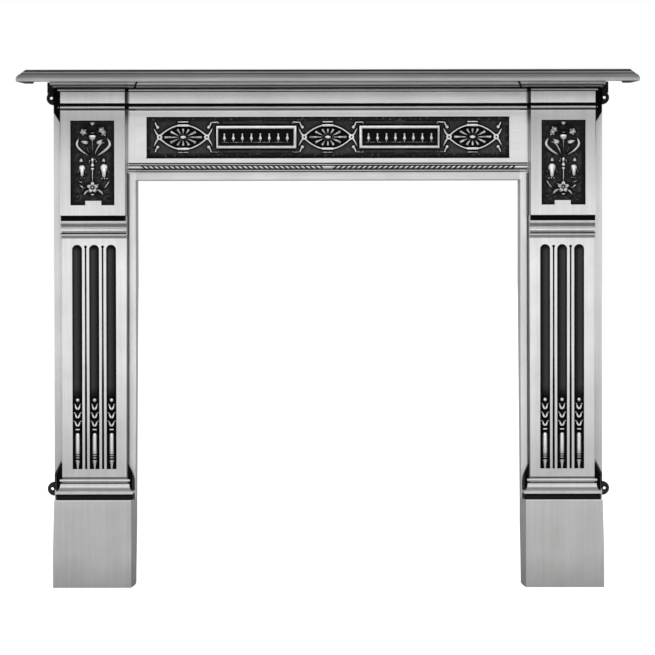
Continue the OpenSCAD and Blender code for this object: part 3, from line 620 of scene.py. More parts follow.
def leg_black_and_shade(graph):
    """Black on the sides of the block and cornice and round the base's sweeps; painted shade in the corner beside the
    shaft and on the inner return of the cornice, fading into the frieze.
    """
    x, z, depth = graph.x, graph.z, graph.depth
    lean = graph.minus(x, graph.every(graph.minus(0.9, z), 0.0028))
    # painted shade: a dark line in the corner beside the shaft, a little lighter higher up
    painted_corner_shade = graph.every(graph.within(lean, 0.4946, 0.5000), graph.within(depth, 0.076, SHAFT_D + 0.0005, 0.001),
                         graph.within(z, 0.262, 1.030), graph.ramp(z, [(0.26, 0.97), (0.50, 0.93), (0.85, 0.82)]))
    # painted shade on the inner return of the block and cornice, fading out downwards and towards the frieze
    fade = graph.ramp(z, [(1.145, 0.0), (1.186, 1.0), (1.2380, 1.0), (1.2390, 0.0)])
    inner_return_shade = graph.every(graph.within(x, 0.4940, 0.5033), graph.step(depth, 0.1064, 0.1070), fade)
    inner_shade = graph.every(graph.step(x, 0.4895, 0.4985), graph.step(x, 0.5050, 0.5045),
                              graph.step(depth, 0.1075, 0.1070), fade, 0.93)
    wedge = graph.minus(graph.every(z, 0.6), x)
    outer_return = graph.every(graph.step(x, BLOCK_OUT, BLOCK_OUT + 0.0006), graph.step(depth, 0.1175, 0.1165),
                               graph.step(wedge, 0.0250, 0.0275), graph.step(z, 1.2440, 1.2430))
    outer_line = graph.every(graph.within(x, 0.6630, 0.6672, 0.0008),
                             graph.ramp(z, [(1.05, 0.0), (1.16, 0.9), (1.20, 1.0), (1.2305, 1.0), (1.2315, 0.0)]))
    sweeps = graph.every(graph.any(graph.step(x, SHAFT_OUT + 0.0004, SHAFT_OUT + 0.0010),
                                   graph.step(x, SHAFT_IN - 0.0004, SHAFT_IN - 0.0010)),
                         graph.within(depth, 0.0808, 0.1072), graph.within(z, 0.2405, 0.3270))
    curl = graph.plus(z, graph.every(x, 2.0))
    sweep_back = graph.every(graph.step(x, 0.6650, 0.6665), graph.step(depth, 0.108, 0.107),
                             graph.within(z, 0.2420, 0.3300), graph.step(curl, 1.6510, 1.6440), 0.95)
    return graph.any(painted_corner_shade, inner_return_shade, inner_shade, outer_return, outer_line, sweeps, sweep_back)


def leg_flutes(graph):
    """The dark flutes and the keys between them, and the painted light that lifts the floors of the flutes from black
    to grey across their middles.
    """
    x, z = graph.x, graph.z
    first_edge = FLUTE_MID - 1.5 * FLUTE_PITCH
    across = graph.math("FRACT", graph.math("DIVIDE", graph.minus(x, first_edge), FLUTE_PITCH))
    to_flute = graph.every(graph.minus(across, 0.5), FLUTE_PITCH)
    to_key = graph.minus(graph.every(graph.math("PINGPONG", across, 0.5), FLUTE_PITCH),
                         graph.ramp(z, [(0.30, 0.0008), (0.50, 0.0006), (0.60, 0.0)]))
    flute = graph.step(graph.reach(to_flute, graph.math("MAXIMUM", graph.minus(z, FLUTE_HEAD), 0.0)),
                       FLUTE_HALF + 0.0002, FLUTE_HALF - 0.0002)
    key = graph.any(graph.every(graph.step(to_key, 0.0023, 0.0019), graph.step(z, KEY_HEAD, KEY_HEAD - 0.0004)),
                    graph.step(graph.reach(to_key, graph.minus(z, KEY_HEAD)), 0.0038, 0.0034))
    flutes = graph.every(graph.any(flute, graph.every(key, graph.within(x, 0.545, 0.617))),
                         graph.within(x, FLUTE_MID - 1.49 * FLUTE_PITCH, FLUTE_MID + 1.49 * FLUTE_PITCH),
                         graph.step(z, FLUTE_FOOT - 0.0004, FLUTE_FOOT), graph.step(graph.depth, 0.095, 0.096))
    # painted light on the flute floors: grey across the middle of each flute, black at its edges and low down by the
    # ornament
    flute_painted_light = graph.every(
        graph.ramp(across, [(0.0, 0.0), (0.205, 0.0), (0.23, 0.12), (0.30, 0.30), (0.36, 0.45), (0.46, 0.62),
                            (0.56, 0.85), (0.64, 1.0), (0.70, 0.90), (0.75, 0.45), (0.785, 0.05), (1.0, 0.0)]),
        graph.ramp(z, [(0.30, 0.03), (0.472, 0.05), (0.502, 1.0), (0.835, 1.0), (0.845, 0.5), (0.853, 0.3)]))
    return flutes, flute_painted_light


def leg_painted_light(graph):
    """The leg's painted light and shade by height: on its proud front, with painted shade in the coves of its base and
    neck, on the slip and strip beside it, and on its end of the frieze.
    """
    x, z = graph.x, graph.z
    front = graph.ramp(z, [(PLINTH_TOP, 0.80), (0.2405, 0.80), (0.2425, 0.74), (0.258, 0.74), (0.262, 0.90),
                           (0.271, 0.90), (0.276, 0.74), (0.30, 0.73), (0.42, 0.91), (0.55, 1.02), (0.80, 1.07),
                           (0.868, 1.00), (0.94, 0.91), (1.05, 0.75), (1.165, 0.55), (1.183, 0.60), (1.190, 1.08),
                           (1.205, 1.0), (1.228, 0.86), (1.234, 1.05), (1.2434, 0.62), (1.2470, 0.64),
                           (1.2505, 1.0), (TOP_Z, 1.0)])
    # painted shade in the coves of the base and the neck
    collar_shade = graph.ramp(z, [(0.2428, 1.0), (0.2452, 0.42), (0.2483, 0.42), (0.2507, 1.0), (0.8675, 1.0),
                            (0.8690, 0.50), (0.8760, 0.55), (0.8772, 1.0), (0.8938, 1.0), (0.8962, 0.38),
                            (0.9035, 0.38), (0.9055, 0.72), (0.9095, 0.72), (0.9105, 1.0)])
    slip = graph.ramp(z, [(PLINTH_TOP, 0.90), (0.30, 0.98), (0.45, 1.07), (1.11, 1.03), (1.165, 0.95),
                          (TOP_Z, 0.80)])
    strip = graph.ramp(z, [(PLINTH_TOP, 0.66), (0.30, 0.68), (0.45, 0.76), (0.60, 0.90), (0.75, 0.94), (1.0, 0.88),
                           (1.165, 0.70), (TOP_Z, 0.66)])
    frieze_end = graph.every(graph.step(x, 0.4945, 0.4935), graph.step(z, 1.030, 1.032))
    proud = graph.blend(frieze_end, graph.every(front, collar_shade), graph.ramp(z, FRIEZE_PAINTED_LIGHT))
    return graph.blend(graph.step(graph.depth, 0.088, 0.098),
                       graph.blend(graph.step(x, 0.55, 0.60), slip, strip), proud)


def leg_material():
    graph = Graph("polished_leg_iron")
    x, z, depth = graph.x, graph.z, graph.depth
    grooves = graph.any(leg_mouldings(graph), leg_black_and_shade(graph), bed_notch(graph),
                        pocket_sides(graph, BLOCK_D, 0.5285, 0.6395, 0.949, 1.161))
    underside = graph.every(graph.step(z, 0.2334, 0.2326), graph.step(depth, 0.0815, 0.0825))
    flutes, flute_painted_light = leg_flutes(graph)
    hollow = graph.any(
        graph.every(graph.within(x, 0.4830, 0.6820), graph.step(depth, 0.0765, 0.0755)),
        graph.every(graph.within(x, 0.5035, 0.6565), graph.step(depth, 0.1000, 0.0990)))
    polish = graph.minus(1.0, graph.any(grooves, underside, flutes, hollow))
    # in the flutes, painted light lifts the grate black to the recess grey
    deep = graph.any(grooves, graph.every(underside, 0.8), graph.math("SUBTRACT", flutes, flute_painted_light, clamp=True))
    return iron_finish(graph, polish, leg_painted_light(graph), "Z", deep)


def frieze_material():
    graph = Graph("polished_frieze_iron")
    x, z, depth = graph.x, graph.z, graph.depth
    line = graph.every(graph.within(z, *CORNICE_LINE), 0.86)
    sill = graph.every(graph.within(z, 1.0662, 1.0690, 0.0003), graph.step(x, 0.4516, 0.4512))
    grooves = graph.any(graph.bands(z, LINTEL_BLACK), graph.bands(z, CORNICE_BLACK), sill, bed_notch(graph),
                        pocket_sides(graph, FRIEZE_D, -1.0, 0.4508, 1.068, 1.170))
    hollow = graph.every(graph.step(z, 1.0155, 1.0165),
                         graph.any(graph.step(depth, 0.0765, 0.0755),
                                   graph.every(graph.step(z, 1.041, 1.042), graph.step(depth, 0.0930, 0.0920))))
    polish = graph.minus(1.0, graph.any(grooves, line, hollow))
    # the frieze's brightness by height is painted light and shade
    return iron_finish(graph, polish, graph.ramp(z, FRIEZE_PAINTED_LIGHT), "X", grooves)


def shelf_material():
    graph = Graph("polished_shelf_iron")
    x, z, depth = graph.x, graph.z, graph.depth
    inside = graph.plus(depth, graph.every(z, 1.235))
    under = graph.every(graph.step(z, TOP_Z - 0.0065, TOP_Z - 0.0070), graph.step(x, 0.7420, 0.7410),
                        graph.step(inside, 1.7790, 1.7780), graph.step(depth, 0.2255, 0.2245))
    foot = graph.every(graph.step(z, 1.2500, 1.2494), graph.step(x, 0.700, 0.705))
    # painted reflection: a dark line along the rounded top arris
    arris_dark_reflection = graph.every(graph.within(z, 1.2742, 1.2786, 0.0003), 0.96)
    quirk = graph.every(graph.within(z, 1.2674, 1.2694, 0.0003), 0.75)
    ends = graph.every(graph.step(z, 1.2625, 1.2600), graph.step(depth, 0.221, 0.219))
    grooves = graph.any(foot, arris_dark_reflection, quirk, under, ends)
    # painted light and shade by height on the shelf's lip: darkest on its lower sweep, brighter towards the top
    tone_and_painted_light = graph.ramp(z, [(1.249, 0.85), (1.2522, 0.75), (1.2545, 0.46), (1.2571, 0.25), (1.2596, 0.25),
                          (1.2620, 0.34), (1.2644, 0.55), (1.2665, 0.72), (1.2673, 0.50), (1.2692, 0.50),
                          (1.2700, 0.80), (1.2770, 0.85), (TOP_Z, 1.15)])
    return iron_finish(graph, graph.minus(1.0, grooves), tone_and_painted_light, "X", grooves)


def plinth_material():
    graph = Graph("polished_plinth_iron")
    hollow = graph.every(graph.within(graph.x, 0.4975, 0.6755), graph.step(graph.depth, 0.1155, 0.1145))
    # painted light and shade: darker towards the floor, with a painted highlight along the top edge
    tone_and_painted_light = graph.ramp(graph.z, [(0.0, 0.49), (0.08, 0.66), (0.2150, 0.73), (0.2164, 0.98), (PLINTH_TOP, 0.98)])
    return iron_finish(graph, graph.minus(1.0, hollow), tone_and_painted_light, "Z")


def black_material():
    graph = Graph("black_lug_iron")
    grainy = graph.noise((260, 260, 260), detail=4.0)
    dark = graph.mix(graph.every(graph.step(grainy, 0.5, 0.9), 0.12), colour(iron().black), colour(iron().bright))
    graph.put(graph.shader.inputs["Base Color"], dark)
    graph.shader.inputs["Metallic"].default_value = 0.3
    graph.put(graph.shader.inputs["Roughness"], graph.blend(grainy, 0.38, 0.62))
    graph.bump(grainy, 0.0002, 0.6)
    return graph.material


def zinc_material():
    graph = Graph("zinc_fastener_steel")
    spangle = graph.noise((350, 350, 350), detail=2.0)
    graph.put(graph.shader.inputs["Base Color"], graph.scale(iron().zinc, graph.swing(spangle, 0.2)))
    graph.shader.inputs["Metallic"].default_value = 0.9
    graph.put(graph.shader.inputs["Roughness"], graph.blend(spangle, 0.35, 0.6))
    graph.bump(spangle, 0.00005, 0.5)
    return graph.material


def relief_material(graph, ground, low, high, shade, spotty, tone_and_painted_light):
    """Black carving over a ground at that depth, rubbed bright from a low to a high share of its height."""
    height = graph.minus(graph.depth, ground)
    rub = graph.noise((160, 160, 160), detail=3.0, seed=5.0)
    level = graph.plus(height, graph.every(graph.minus(rub, 0.5), 0.0016))
    polish = graph.step(level, ornament().relief * low, ornament().relief * high)
    stipple = graph.noise((900, 900, 900), detail=2.0, seed=2.0)
    mottle = graph.noise((110, 110, 110), detail=3.0, seed=9.0)
    near = graph.step(graph.occlusion(0.010), 0.975, 0.80)
    spots = graph.math("ADD", graph.step(mottle, 0.62, 0.38), graph.step(stipple, 0.60, 0.34), clamp=True)
    deep = graph.any(near, graph.step(height, -0.0001, -0.0003), graph.every(spots, spotty), shade)
    return iron_finish(graph, polish, graph.every(graph.swing(rub, 0.18), tone_and_painted_light), "Z", deep)


def soften(node):
    """Rounds a casting's edges with live modifiers, which leave its own mesh as it is."""
    obj = NODES[node]
    add_modifier(obj, "WELD", apply=False, merge_threshold=0.00001)
    add_modifier(obj, "BEVEL", apply=False, width=iron().edge, segments=2, limit_method="ANGLE",
                 angle_limit=math.radians(32), harden_normals=False)
    add_modifier(obj, "WEIGHTED_NORMAL", apply=False, keep_sharp=True)


class SURROUND_OT_castings(bpy.types.Operator):
    """Polish the shelf, the frieze, the legs and the plinths"""
    bl_idname = "surround.castings"
    bl_label = "Castings"

    def execute(self, context):
        leg, plinth = leg_material(), plinth_material()
        paint(NODES["mantel_shelf"], shelf_material())
        paint(NODES["frieze"], frieze_material())
        for hand in ("left", "right"):
            paint(NODES[f"{hand}_leg"], leg)
            paint(NODES[f"{hand}_plinth"], plinth)
        for node in CASTINGS:
            soften(node)
        return {"FINISHED"}


class SURROUND_OT_hardware(bpy.types.Operator):
    """Blacken the wall lugs and plate the fasteners"""
    bl_idname = "surround.hardware"
    bl_label = "Lugs and fasteners"

    def execute(self, context):
        black, zinc = black_material(), zinc_material()
        for node in LUGS:
            paint(NODES[node], black)
            soften(node)
        for node in FASTENERS:
            paint(NODES[node], zinc)
        return {"FINISHED"}


# ---------- rope moulding ----------

def twisted_rope(length, hand):
    """A rope of two strands along +X from the origin, twisted to the left or right."""
    clear_selection()
    bpy.ops.mesh.primitive_circle_add(vertices=20, radius=ornament().rope_radius, rotation=(0, math.pi / 2, 0))
    obj = place_in_mesh(bpy.context.object)
    for vertex in obj.data.vertices:
        angle = math.atan2(vertex.co.z, vertex.co.y)
        vertex.co *= 0.70 + 0.30 * abs(math.cos(angle)) ** 0.8
    turns = length / (2 * ornament().rope_pitch)
    steps = int(turns * 20)
    add_modifier(obj, "SCREW", axis="X", angle=hand * turns * 2 * math.pi, screw_offset=length,
                 steps=steps, render_steps=steps, use_smooth_shade=True)
    close_up(obj, merge=False)
    return obj


class SURROUND_OT_rope(bpy.types.Operator):
    """Twist the rope moulding under the frieze, plain at its ends and middle"""
    bl_idname = "surround.rope"
    bl_label = "Rope moulding"

    def execute(self, context):
        y, radius = WALL_Y - ROPE_D, ornament().rope_radius
        pieces = []
        for hand, start in ((-1, -ROPE_PLAIN_END), (1, ROPE_PLAIN_MID)):
            half = twisted_rope(ROPE_PLAIN_END - ROPE_PLAIN_MID, -hand)
            pieces.append(settle(half, (start, y, ROPE_Z)))
        for x0, x1 in ((-ROPE_END, -ROPE_PLAIN_END), (-ROPE_PLAIN_MID, ROPE_PLAIN_MID), (ROPE_PLAIN_END, ROPE_END)):
            clear_selection()
            bpy.ops.mesh.primitive_cylinder_add(
                vertices=24, radius=radius - 0.0006, depth=x1 - x0,
                location=((x0 + x1) / 2, y, ROPE_Z), rotation=(0, math.pi / 2, 0))
            sleeve = place_in_mesh(bpy.context.object)
            add_modifier(sleeve, "BEVEL", width=0.0008, segments=2, limit_method="ANGLE")
            pieces.append(sleeve)
        rope = join(pieces, "rope_moulding")
        smooth(rope, 50)
        graph = Graph("rope_iron")
        dy, dz = graph.minus(graph.depth, ROPE_D), graph.minus(graph.z, ROPE_Z)
        crest = graph.every(graph.within(dz, -0.0032, 0.0024),
                            graph.step(graph.reach(dy, dz), radius * 0.84, radius * 0.97))
        plain = graph.any(graph.within(graph.x, ROPE_PLAIN_END, 0.60),
                          graph.step(graph.x, ROPE_PLAIN_MID + 0.0002, ROPE_PLAIN_MID - 0.0003))
        finish_piece(rope, iron_finish(graph, graph.any(crest, plain), 0.9, "X"))
        return {"FINISHED"}


# ---------- frieze panel ----------

def framed_plate(lo, hi, rim, step):
    """A plate between two corners with a raised rim round its front."""
    obj = block((lo + hi) / 2, hi - lo)
    bpy.ops.object.mode_set(mode="EDIT")
    bpy.ops.mesh.select_all(action="DESELECT")
    end_edit()
    for face in obj.data.polygons:
        face.select = face.normal.y < -0.9
    bpy.ops.object.mode_set(mode="EDIT")
    bpy.ops.mesh.inset(thickness=rim)
    bpy.ops.mesh.inset(thickness=step * 0.7)
    bpy.ops.transform.translate(value=(0, step, 0))
    end_edit()
    add_modifier(obj, "BEVEL", width=0.0004, segments=2, limit_method="ANGLE")
    return obj


def panel_plate(lo, hi, ground_y, rim, step):
    """A relief panel's plate, as large as its casting but with its ground sunk within a rim of that width and step."""
    return framed_plate(Vector((lo.x, ground_y - step, lo.z)), hi, rim, step)


def inner_size(lo, hi, inset):
    """Half the width and half the height of the line that runs inside a panel's edges, at that inset."""
    return (hi.x - lo.x) / 2 - inset, (hi.z - lo.z) / 2 - inset


def border_line(lo, hi, inset, ground_y):
    """A thin raised line round a panel's front, inset from its edges."""
    across, up = (half / MM for half in inner_size(lo, hi, inset))
    lines = [bar(-across, across, t * up - 0.5, t * up + 0.5, 1.7, 0.3) for t in (-1, 1)]
    lines += [bar(t * across - 0.5, t * across + 0.5, -up, up, 1.7, 0.3) for t in (-1, 1)]
    return settle_all(lines, ((lo.x + hi.x) / 2, ground_y, (lo.z + hi.z) / 2))


def margin(graph, lo, hi, inset):
    """The black margin between a panel's edge and its border line; both legs share the mask of the right one."""
    across, up = inner_size(lo, hi, inset)
    beside = graph.off(graph.x, abs(lo.x + hi.x) / 2)
    above = graph.off(graph.z, (lo.z + hi.z) / 2)
    return graph.every(graph.any(graph.step(beside, across, across + 0.0008), graph.step(above, up, up + 0.0008)),
                       0.85)


def quarter_path(path, s, t):
    """A path of one quarter of a medallion, moved to side s and, above or below its middle, to side t."""
    return [(s * x, t * z) for x, z in path]


def medallion(barred):
    """A pointed-oval medallion with rays, arms and hooked ends; barred lists the sides whose hooks carry a bar."""
    half, rise = OVAL_HALF / MM, OVAL_RISE / MM
    # path, radii, flatness, sink and level top of each ray, arm and hook
    quarter = [([(12.5, 4.5), (23, 9.3), (31, 13.5)], [1.0, 2.6, 3.2], 1.6, 0.6, 2.5),
               ([(6.5, 8.5), (11, 14.5), (14, 19.5)], [0.9, 2.4, 3.0], 1.7, 0.6, 2.5),
               ([(61.5, 3), (67, 11), (70, 17), (74.5, 25.5)], [2.8, 2.2, 1.5, 0.7], 1.8, 0.7, 2.9),
               ([(63, 25.5), (66.5, 29), (69.5, 36.8)], [2.4, 2.2, 1.6], 1.9, 0.7, 2.9)]
    hook_bar = [(69, 36.6), (78, 36.8), (87, 36.4), (87.6, 33.6)]
    pieces = []
    for t in (-1, 1):
        arc = [(x, t * rise * (1 - (x / half) ** 2)) for x in (-57, -45, -30, -15, 0, 15, 30, 45, 57)]
        pieces += [strand(arc, [2.4] + [2.0] * 7 + [2.4], flat=2.0, sink=0.8, top=3.4),
                   bar(-14, 14, t * 29 - 2.6, t * 29 + 2.6, 4.5),
                   bar(-13, 13, t * 37.8 - 1.3, t * 37.8 + 1.3, 4.0 if t > 0 else 2.3),
                   strand([(0, t * 9.5), (0, t * 15), (0, t * 20.5)], [0.8, 2.2, 2.7], flat=2.1, sink=0.6, top=2.5)]
    for s in (-1, 1):
        clear_selection()
        bpy.ops.mesh.primitive_torus_add(major_segments=24, minor_segments=10, major_radius=4.4 * MM,
                                         minor_radius=2.5 * MM, rotation=(math.pi / 2, 0, 0))
        ring = bpy.context.object
        ring.scale = (1, 1, 2.0)
        ring.location = (s * 58.6 * MM, -0.0006, 0)
        place_in_mesh(ring)
        level_off(ring, 3.7)
        pieces += [ring, strand([(s * 14, 0), (s * 30, 0), (s * 46, 0)], [1.0, 2.6, 3.0], 1.6, 0.6, 2.5)]
        for t in (-1, 1):
            pieces += [strand(quarter_path(path, s, t), *form) for path, *form in quarter]
            pieces.append(knob(s * 63.4, t * 24.6, 8.8, 8.8, 5.8, top=4.2))
            if s in barred:
                flat, top = (2.3, 2.7) if t > 0 else (1.5, 2.1)
                pieces.append(strand(quarter_path(hook_bar, s, t), [1.6, 1.7, 1.7, 1.1], flat, 0.6, top))
    eye_path = [(-12.6, 0), (-9, 5.4), (0, 7.8), (9, 5.4), (12.6, 0), (9, -5.4), (0, -7.8), (-9, -5.4), (-12.6, 0)]
    return pieces + [strand(eye_path, [1.0] * 9, flat=1.6, sink=0.6, top=2.2), knob(0, 0, 16.5, 8.8, 6.4, top=4.6)]


def spindle_box(side):
    """A framed run of turned spindles, with the narrow end of its frame away from the middle."""
    count, pitch = ornament().spindles, ornament().spindle_pitch
    frame_piece = framed_plate(Vector((-0.1004, -0.0050, -0.0278)), Vector((0.1004, 0.0010, 0.0278)), 0.0050, 0.0042)
    for vertex in frame_piece.data.vertices:
        if vertex.co.x * side > 0.0985:
            vertex.co.x -= side * 0.0025
    turned = lathe([(0, -11.6), (1.3, -11.4), (1.5, -9.2), (2.0, -7.6), (3.8, -5.2), (4.2, -3.2), (3.5, -0.6),
                    (2.5, 2.4), (2.4, 4.6), (2.9, 6.6), (2.6, 8.6), (1.7, 9.8), (0, 10.2)])
    settle(turned, scale=(0.96, 1.85, 1))
    level_off(turned, 4.6)
    smooth(turned, 40)
    places = [((i - (count - 1) / 2) * pitch, -0.0006, 0) for i in range(count)]
    pieces = [frame_piece] + [copy_of(turned, place) for place in places[1:]] + [settle(turned, places[0])]
    pieces.append(bar(-86, 86, -13.5, -12.3, 2.1, 0.3))
    for t in (-1, 1):
        pieces += [bar(-84, 84, t * 35.8 - 3.6, t * 35.8 + 3.6, 1.2), bar(-15, 15, t * 36 - 6.0, t * 36 + 6.0, 1.4)]
    return pieces


class SURROUND_OT_frieze_panel(bpy.types.Operator):
    """Carve the frieze panel: three medallions and two boxes of spindles"""
    bl_idname = "surround.frieze_panel"
    bl_label = "Frieze panel"

    def execute(self, context):
        lo, hi = (Vector(c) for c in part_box("frieze_panel"))
        ground = FRIEZE_D - GROUND_SINK
        ground_y = WALL_Y - ground
        middle = (lo.z + hi.z) / 2
        pieces = [panel_plate(lo, hi, ground_y, *FRIEZE_RIM)]
        for x, barred in ((-MEDALLION_X, (1,)), (0.0, (-1, 1)), (MEDALLION_X, (-1,))):
            pieces += settle_all(medallion(barred), (x, ground_y, middle))
        for side in (-1, 1):
            pieces += settle_all(spindle_box(side), (side * BOX_X, ground_y, middle))
        pieces += border_line(lo, hi, FRIEZE_INSET, ground_y)
        panel = join(pieces, "carved_frieze_panel")
        smooth(panel, 40)
        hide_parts("frieze_panel")
        graph = Graph("frieze_relief_iron")
        off_middle = graph.math("MINIMUM", graph.x, graph.off(graph.x, MEDALLION_X))
        oval = graph.every(graph.math("POWER", graph.math("DIVIDE", off_middle, OVAL_HALF), 2.0), -OVAL_RISE)
        inside = graph.minus(graph.plus(oval, OVAL_RISE), graph.off(graph.z, middle))
        boxed = graph.every(graph.within(graph.x, 0.083, 0.276), graph.within(graph.z, middle - 0.024, middle + 0.024))
        shade = graph.any(graph.step(inside, -0.001, 0.001), graph.every(boxed, 0.95),
                          margin(graph, lo, hi, FRIEZE_INSET))
        finish_piece(panel, relief_material(graph, ground, 0.32, 0.60, shade, 0.40, 0.90))
        return {"FINISHED"}


# ---------- leg panels ----------

def flower(size, rise, petals=5, turn=0.0, gap=0.0):
    """A small open flower about the origin: petals round a domed eye, with a gap round it."""
    first = settle(petal(size * 0.55 - gap, size * 0.42, rise), (gap * MM, 0, 0))
    pieces = [copy_of(first, turn_y=turn + 2 * math.pi * i / petals) for i in range(1, petals)]
    eye = size * 0.3 - gap
    return pieces + [settle(first, turn_y=turn), knob(0, 0, eye, eye, rise * 1.1)]


def bell_flower(size):
    """A hanging bell about the origin: a round shoulder drawn in to a long clapper."""
    bell = lathe([(0, -6), (5.0, -4), (7.2, -0.6), (8.3, 3.4), (8.1, 7.6), (6.6, 11.4), (3.6, 14.0), (0, 14.8)], 24)
    clapper = lathe([(0, -15.2), (3.2, -14.6), (4.4, -12), (4.8, -8), (5.4, -3), (5.0, 2), (3.6, 6), (0, 8)], 20)
    return [settle(bell, (0, -0.0008, 0), scale=(size * 1.06, 0.40, size)),
            settle(clapper, (0, -0.0004, 0), scale=(size, 1.0, size))]


def at(pieces, x, z):
    """Moves pieces to a place on the panel, in millimetres."""
    return settle_all(pieces, (x * MM, 0, z * MM))


def vine(path, radii, flat=0.8, sink=0.3):
    """A stem, scroll or leaf of the leg panels."""
    return strand(path, [1.25 * radius for radius in radii], flat * 0.92, sink)


def bouquet():
    """Flowers, scrolls and bells about the panel's centre, as on the left leg, in millimetres."""
    # bud, boss and flowers at the top
    pieces = at([lathe([(0, -3.8), (3.4, -3.4), (5.6, 0), (6.6, 3.0), (5.8, 3.8), (0, 4.2)])], 0, 96.6)
    pieces.append(knob(0, 86.5, 22, 17, 1.3))
    pieces += at(flower(20, 4.3, 5, 0.5), -22.6, 76.5)
    pieces += at(flower(19, 4.3, 5, 0.2), 23, 81)
    pieces += at(flower(16, 4.5, 4, 0.9), 28, 73)
    pieces += [knob(x, z, width, 8.0, 5.8)
               for x, z, width in ((-20.5, 75, 9.5), (-26, 78, 7.0), (21, 82.5, 10.5), (25.5, 76, 9.0))]
    pieces.append(vine([(-7, 76.5), (0, 74.3), (7, 76.5)], [0.7, 1.7, 0.7], 1.8))
    # cup on its stem, between two leaves
    cup = lathe([(0, -7.2), (3.8, -6.6), (7.2, -3.4), (9.2, 1.4), (9.6, 4.4), (8.4, 6.2), (4.6, 5.4), (0, 5.8)], 24)
    pieces += at([settle(cup, scale=(1, 0.62, 1))], 0, 62.4)
    pieces += [vine([(0, 56), (0, 47), (0, 19)], [1.8, 1.5, 0.9], 1.5),
               settle(petal(23, 11, 5.0, -1.5), (-8.5 * MM, 0, 49.5 * MM), math.pi + 0.12),
               settle(petal(22, 11, 5.2, 2.0), (8.5 * MM, 0, 47.5 * MM), -0.42)]
    # scrolls that rise from the vase
    pieces += [vine([(9, 16), (19, 22.5), (29.5, 29.6), (38, 37), (42.8, 44.5), (41.5, 53), (36, 62)],
                    [0.9, 2.2, 2.9, 3.4, 3.3, 2.7, 1.0], 1.25, 0.6),
               vine([(-8, 17), (-17, 23), (-27.4, 30.3), (-35, 38), (-38.6, 46), (-37, 54), (-33.8, 62)],
                    [0.8, 1.8, 2.5, 2.9, 3.0, 2.5, 1.0], 1.3, 0.6),
               vine([(6, 20), (9.5, 30), (14, 39), (21, 47.5), (28, 50.5), (32, 47.5)],
                    [0.8, 1.7, 1.9, 2.0, 1.5, 0.6], 1.8, 0.5),
               vine([(-6, 20), (-9.5, 27), (-13, 36), (-16, 44)], [0.6, 1.3, 1.4, 0.6], 1.4)]
    # vase on its foot and stem
    pieces.append(lathe([(0, -17), (4.4, -16.6), (5.1, -14.6), (4.6, -12.9), (2.2, -12.2), (2.0, -9.8), (4.4, -8.8),
                         (5.3, -6.2), (4.6, -3.2), (3.0, -1.2), (2.9, 2), (4.0, 5), (4.4, 8), (3.4, 12), (0, 14.8)]))
    pieces += [knob(x, z, width, width, 3.8)
               for x, z, width in ((-6.9, 5, 4.4), (6.9, 8.2, 4.0), (9.2, 3.8, 4.8), (-7.6, 0.5, 3.2))]
    pieces.append(vine([(0, -17), (0, -34), (0, -50)], [1.5, 1.4, 0.8], 2.2, 0.8))
    # a bud over a bell on each side: the bell's place and size, its leaves' reach, and its three seeds
    for x, size, reach, seed_z, seed_pitch, seed in ((-26, 1.0, 1.0, -37.5, 4.65, (3.2, 3.6, 3.4)),
                                                     (28.4, 1.18, 1.2, -38.8, 6.2, (4.6, 4.8, 4.4))):
        bud = lathe([(0, -6), (4.6, -5.2), (5.6, -3.0), (4.0, 0.4), (2.2, 4.0), (0, 8.6)])
        pieces += at([bud], math.copysign(28, x), 8) + at(bell_flower(size), x, -18.4)
        for t in (-reach, reach):
            pieces.append(vine([(x + t * 7.4, -13), (x + t * 9.4, -22), (x + t * 14.5, -32)], [0.6, 1.4, 0.5], 1.5))
        pieces += [knob(x + 1.5 + k * seed_pitch, seed_z, *seed) for k in (-1, 0, 1)]
    # rosette with its leaves
    pieces += at(flower(30, 4.7, 5, math.radians(-90), 2.6), 0, -61) + [knob(0, -61, 4.6, 4.6, 6.0)]
    leaves = [([(-38, -44.5), (-29, -47.5), (-19, -50.4)], [0.8, 1.9, 0.8], 1.2),
              ([(-34.5, -52), (-26.5, -59), (-20, -65)], [0.8, 2.4, 1.2], 1.2),
              ([(42, -44.5), (38, -51), (31.5, -60), (26.8, -65)], [1.6, 2.2, 2.0, 0.8], 1.15),
              ([(9, -56.5), (13, -54), (18, -51)], [1.6, 1.9, 0.7], 2.0),
              ([(10.5, -66.5), (18, -69.5), (23.5, -75), (27, -81)], [1.4, 3.0, 2.4, 0.6], 1.7),
              ([(-9, -67), (-15, -71), (-19.5, -77), (-21.5, -83)], [1.2, 2.6, 2.2, 0.6], 1.3),
              ([(-12, -61), (-19, -61.5), (-26, -68), (-28, -77)], [0.8, 1.6, 1.4, 0.5], 1.1),
              ([(9, -82), (18, -85), (29, -92)], [2.0, 3.4, 0.8], 0.34),
              ([(-9, -82), (-18, -85), (-29, -92)], [2.0, 3.4, 0.8], 0.34)]
    pieces += [vine(*leaf, sink=0.4) for leaf in leaves]
    pieces.append(knob(0, -78.5, 10.5, 5.4, 4.9))
    for s in (-1, 1):
        curl = [(s * 31, -76), (s * 40, -76.5), (s * 44, -83), (s * 39, -89.5), (s * 33, -86)]
        pieces += [knob(s * 38, -83.4, 9, 8, 1.7), vine(curl, [0.5, 1.2, 1.5, 1.3, 0.7], 0.9)]
    return pieces


def leg_plate(lo, hi, ground_y):
    """The panel's plate with its raised rim, notched round the tab at its foot."""
    plate = panel_plate(lo, hi, ground_y, *LEG_RIM)
    middle = (lo.x + hi.x) / 2
    notch_x = math.copysign(abs(middle) - 0.002, middle)
    cutter = block((notch_x, ground_y, lo.z), (0.0406, 0.1, 0.0225))
    add_modifier(plate, "BOOLEAN", operation="DIFFERENCE", object=cutter, solver="EXACT")
    delete(cutter)
    return plate


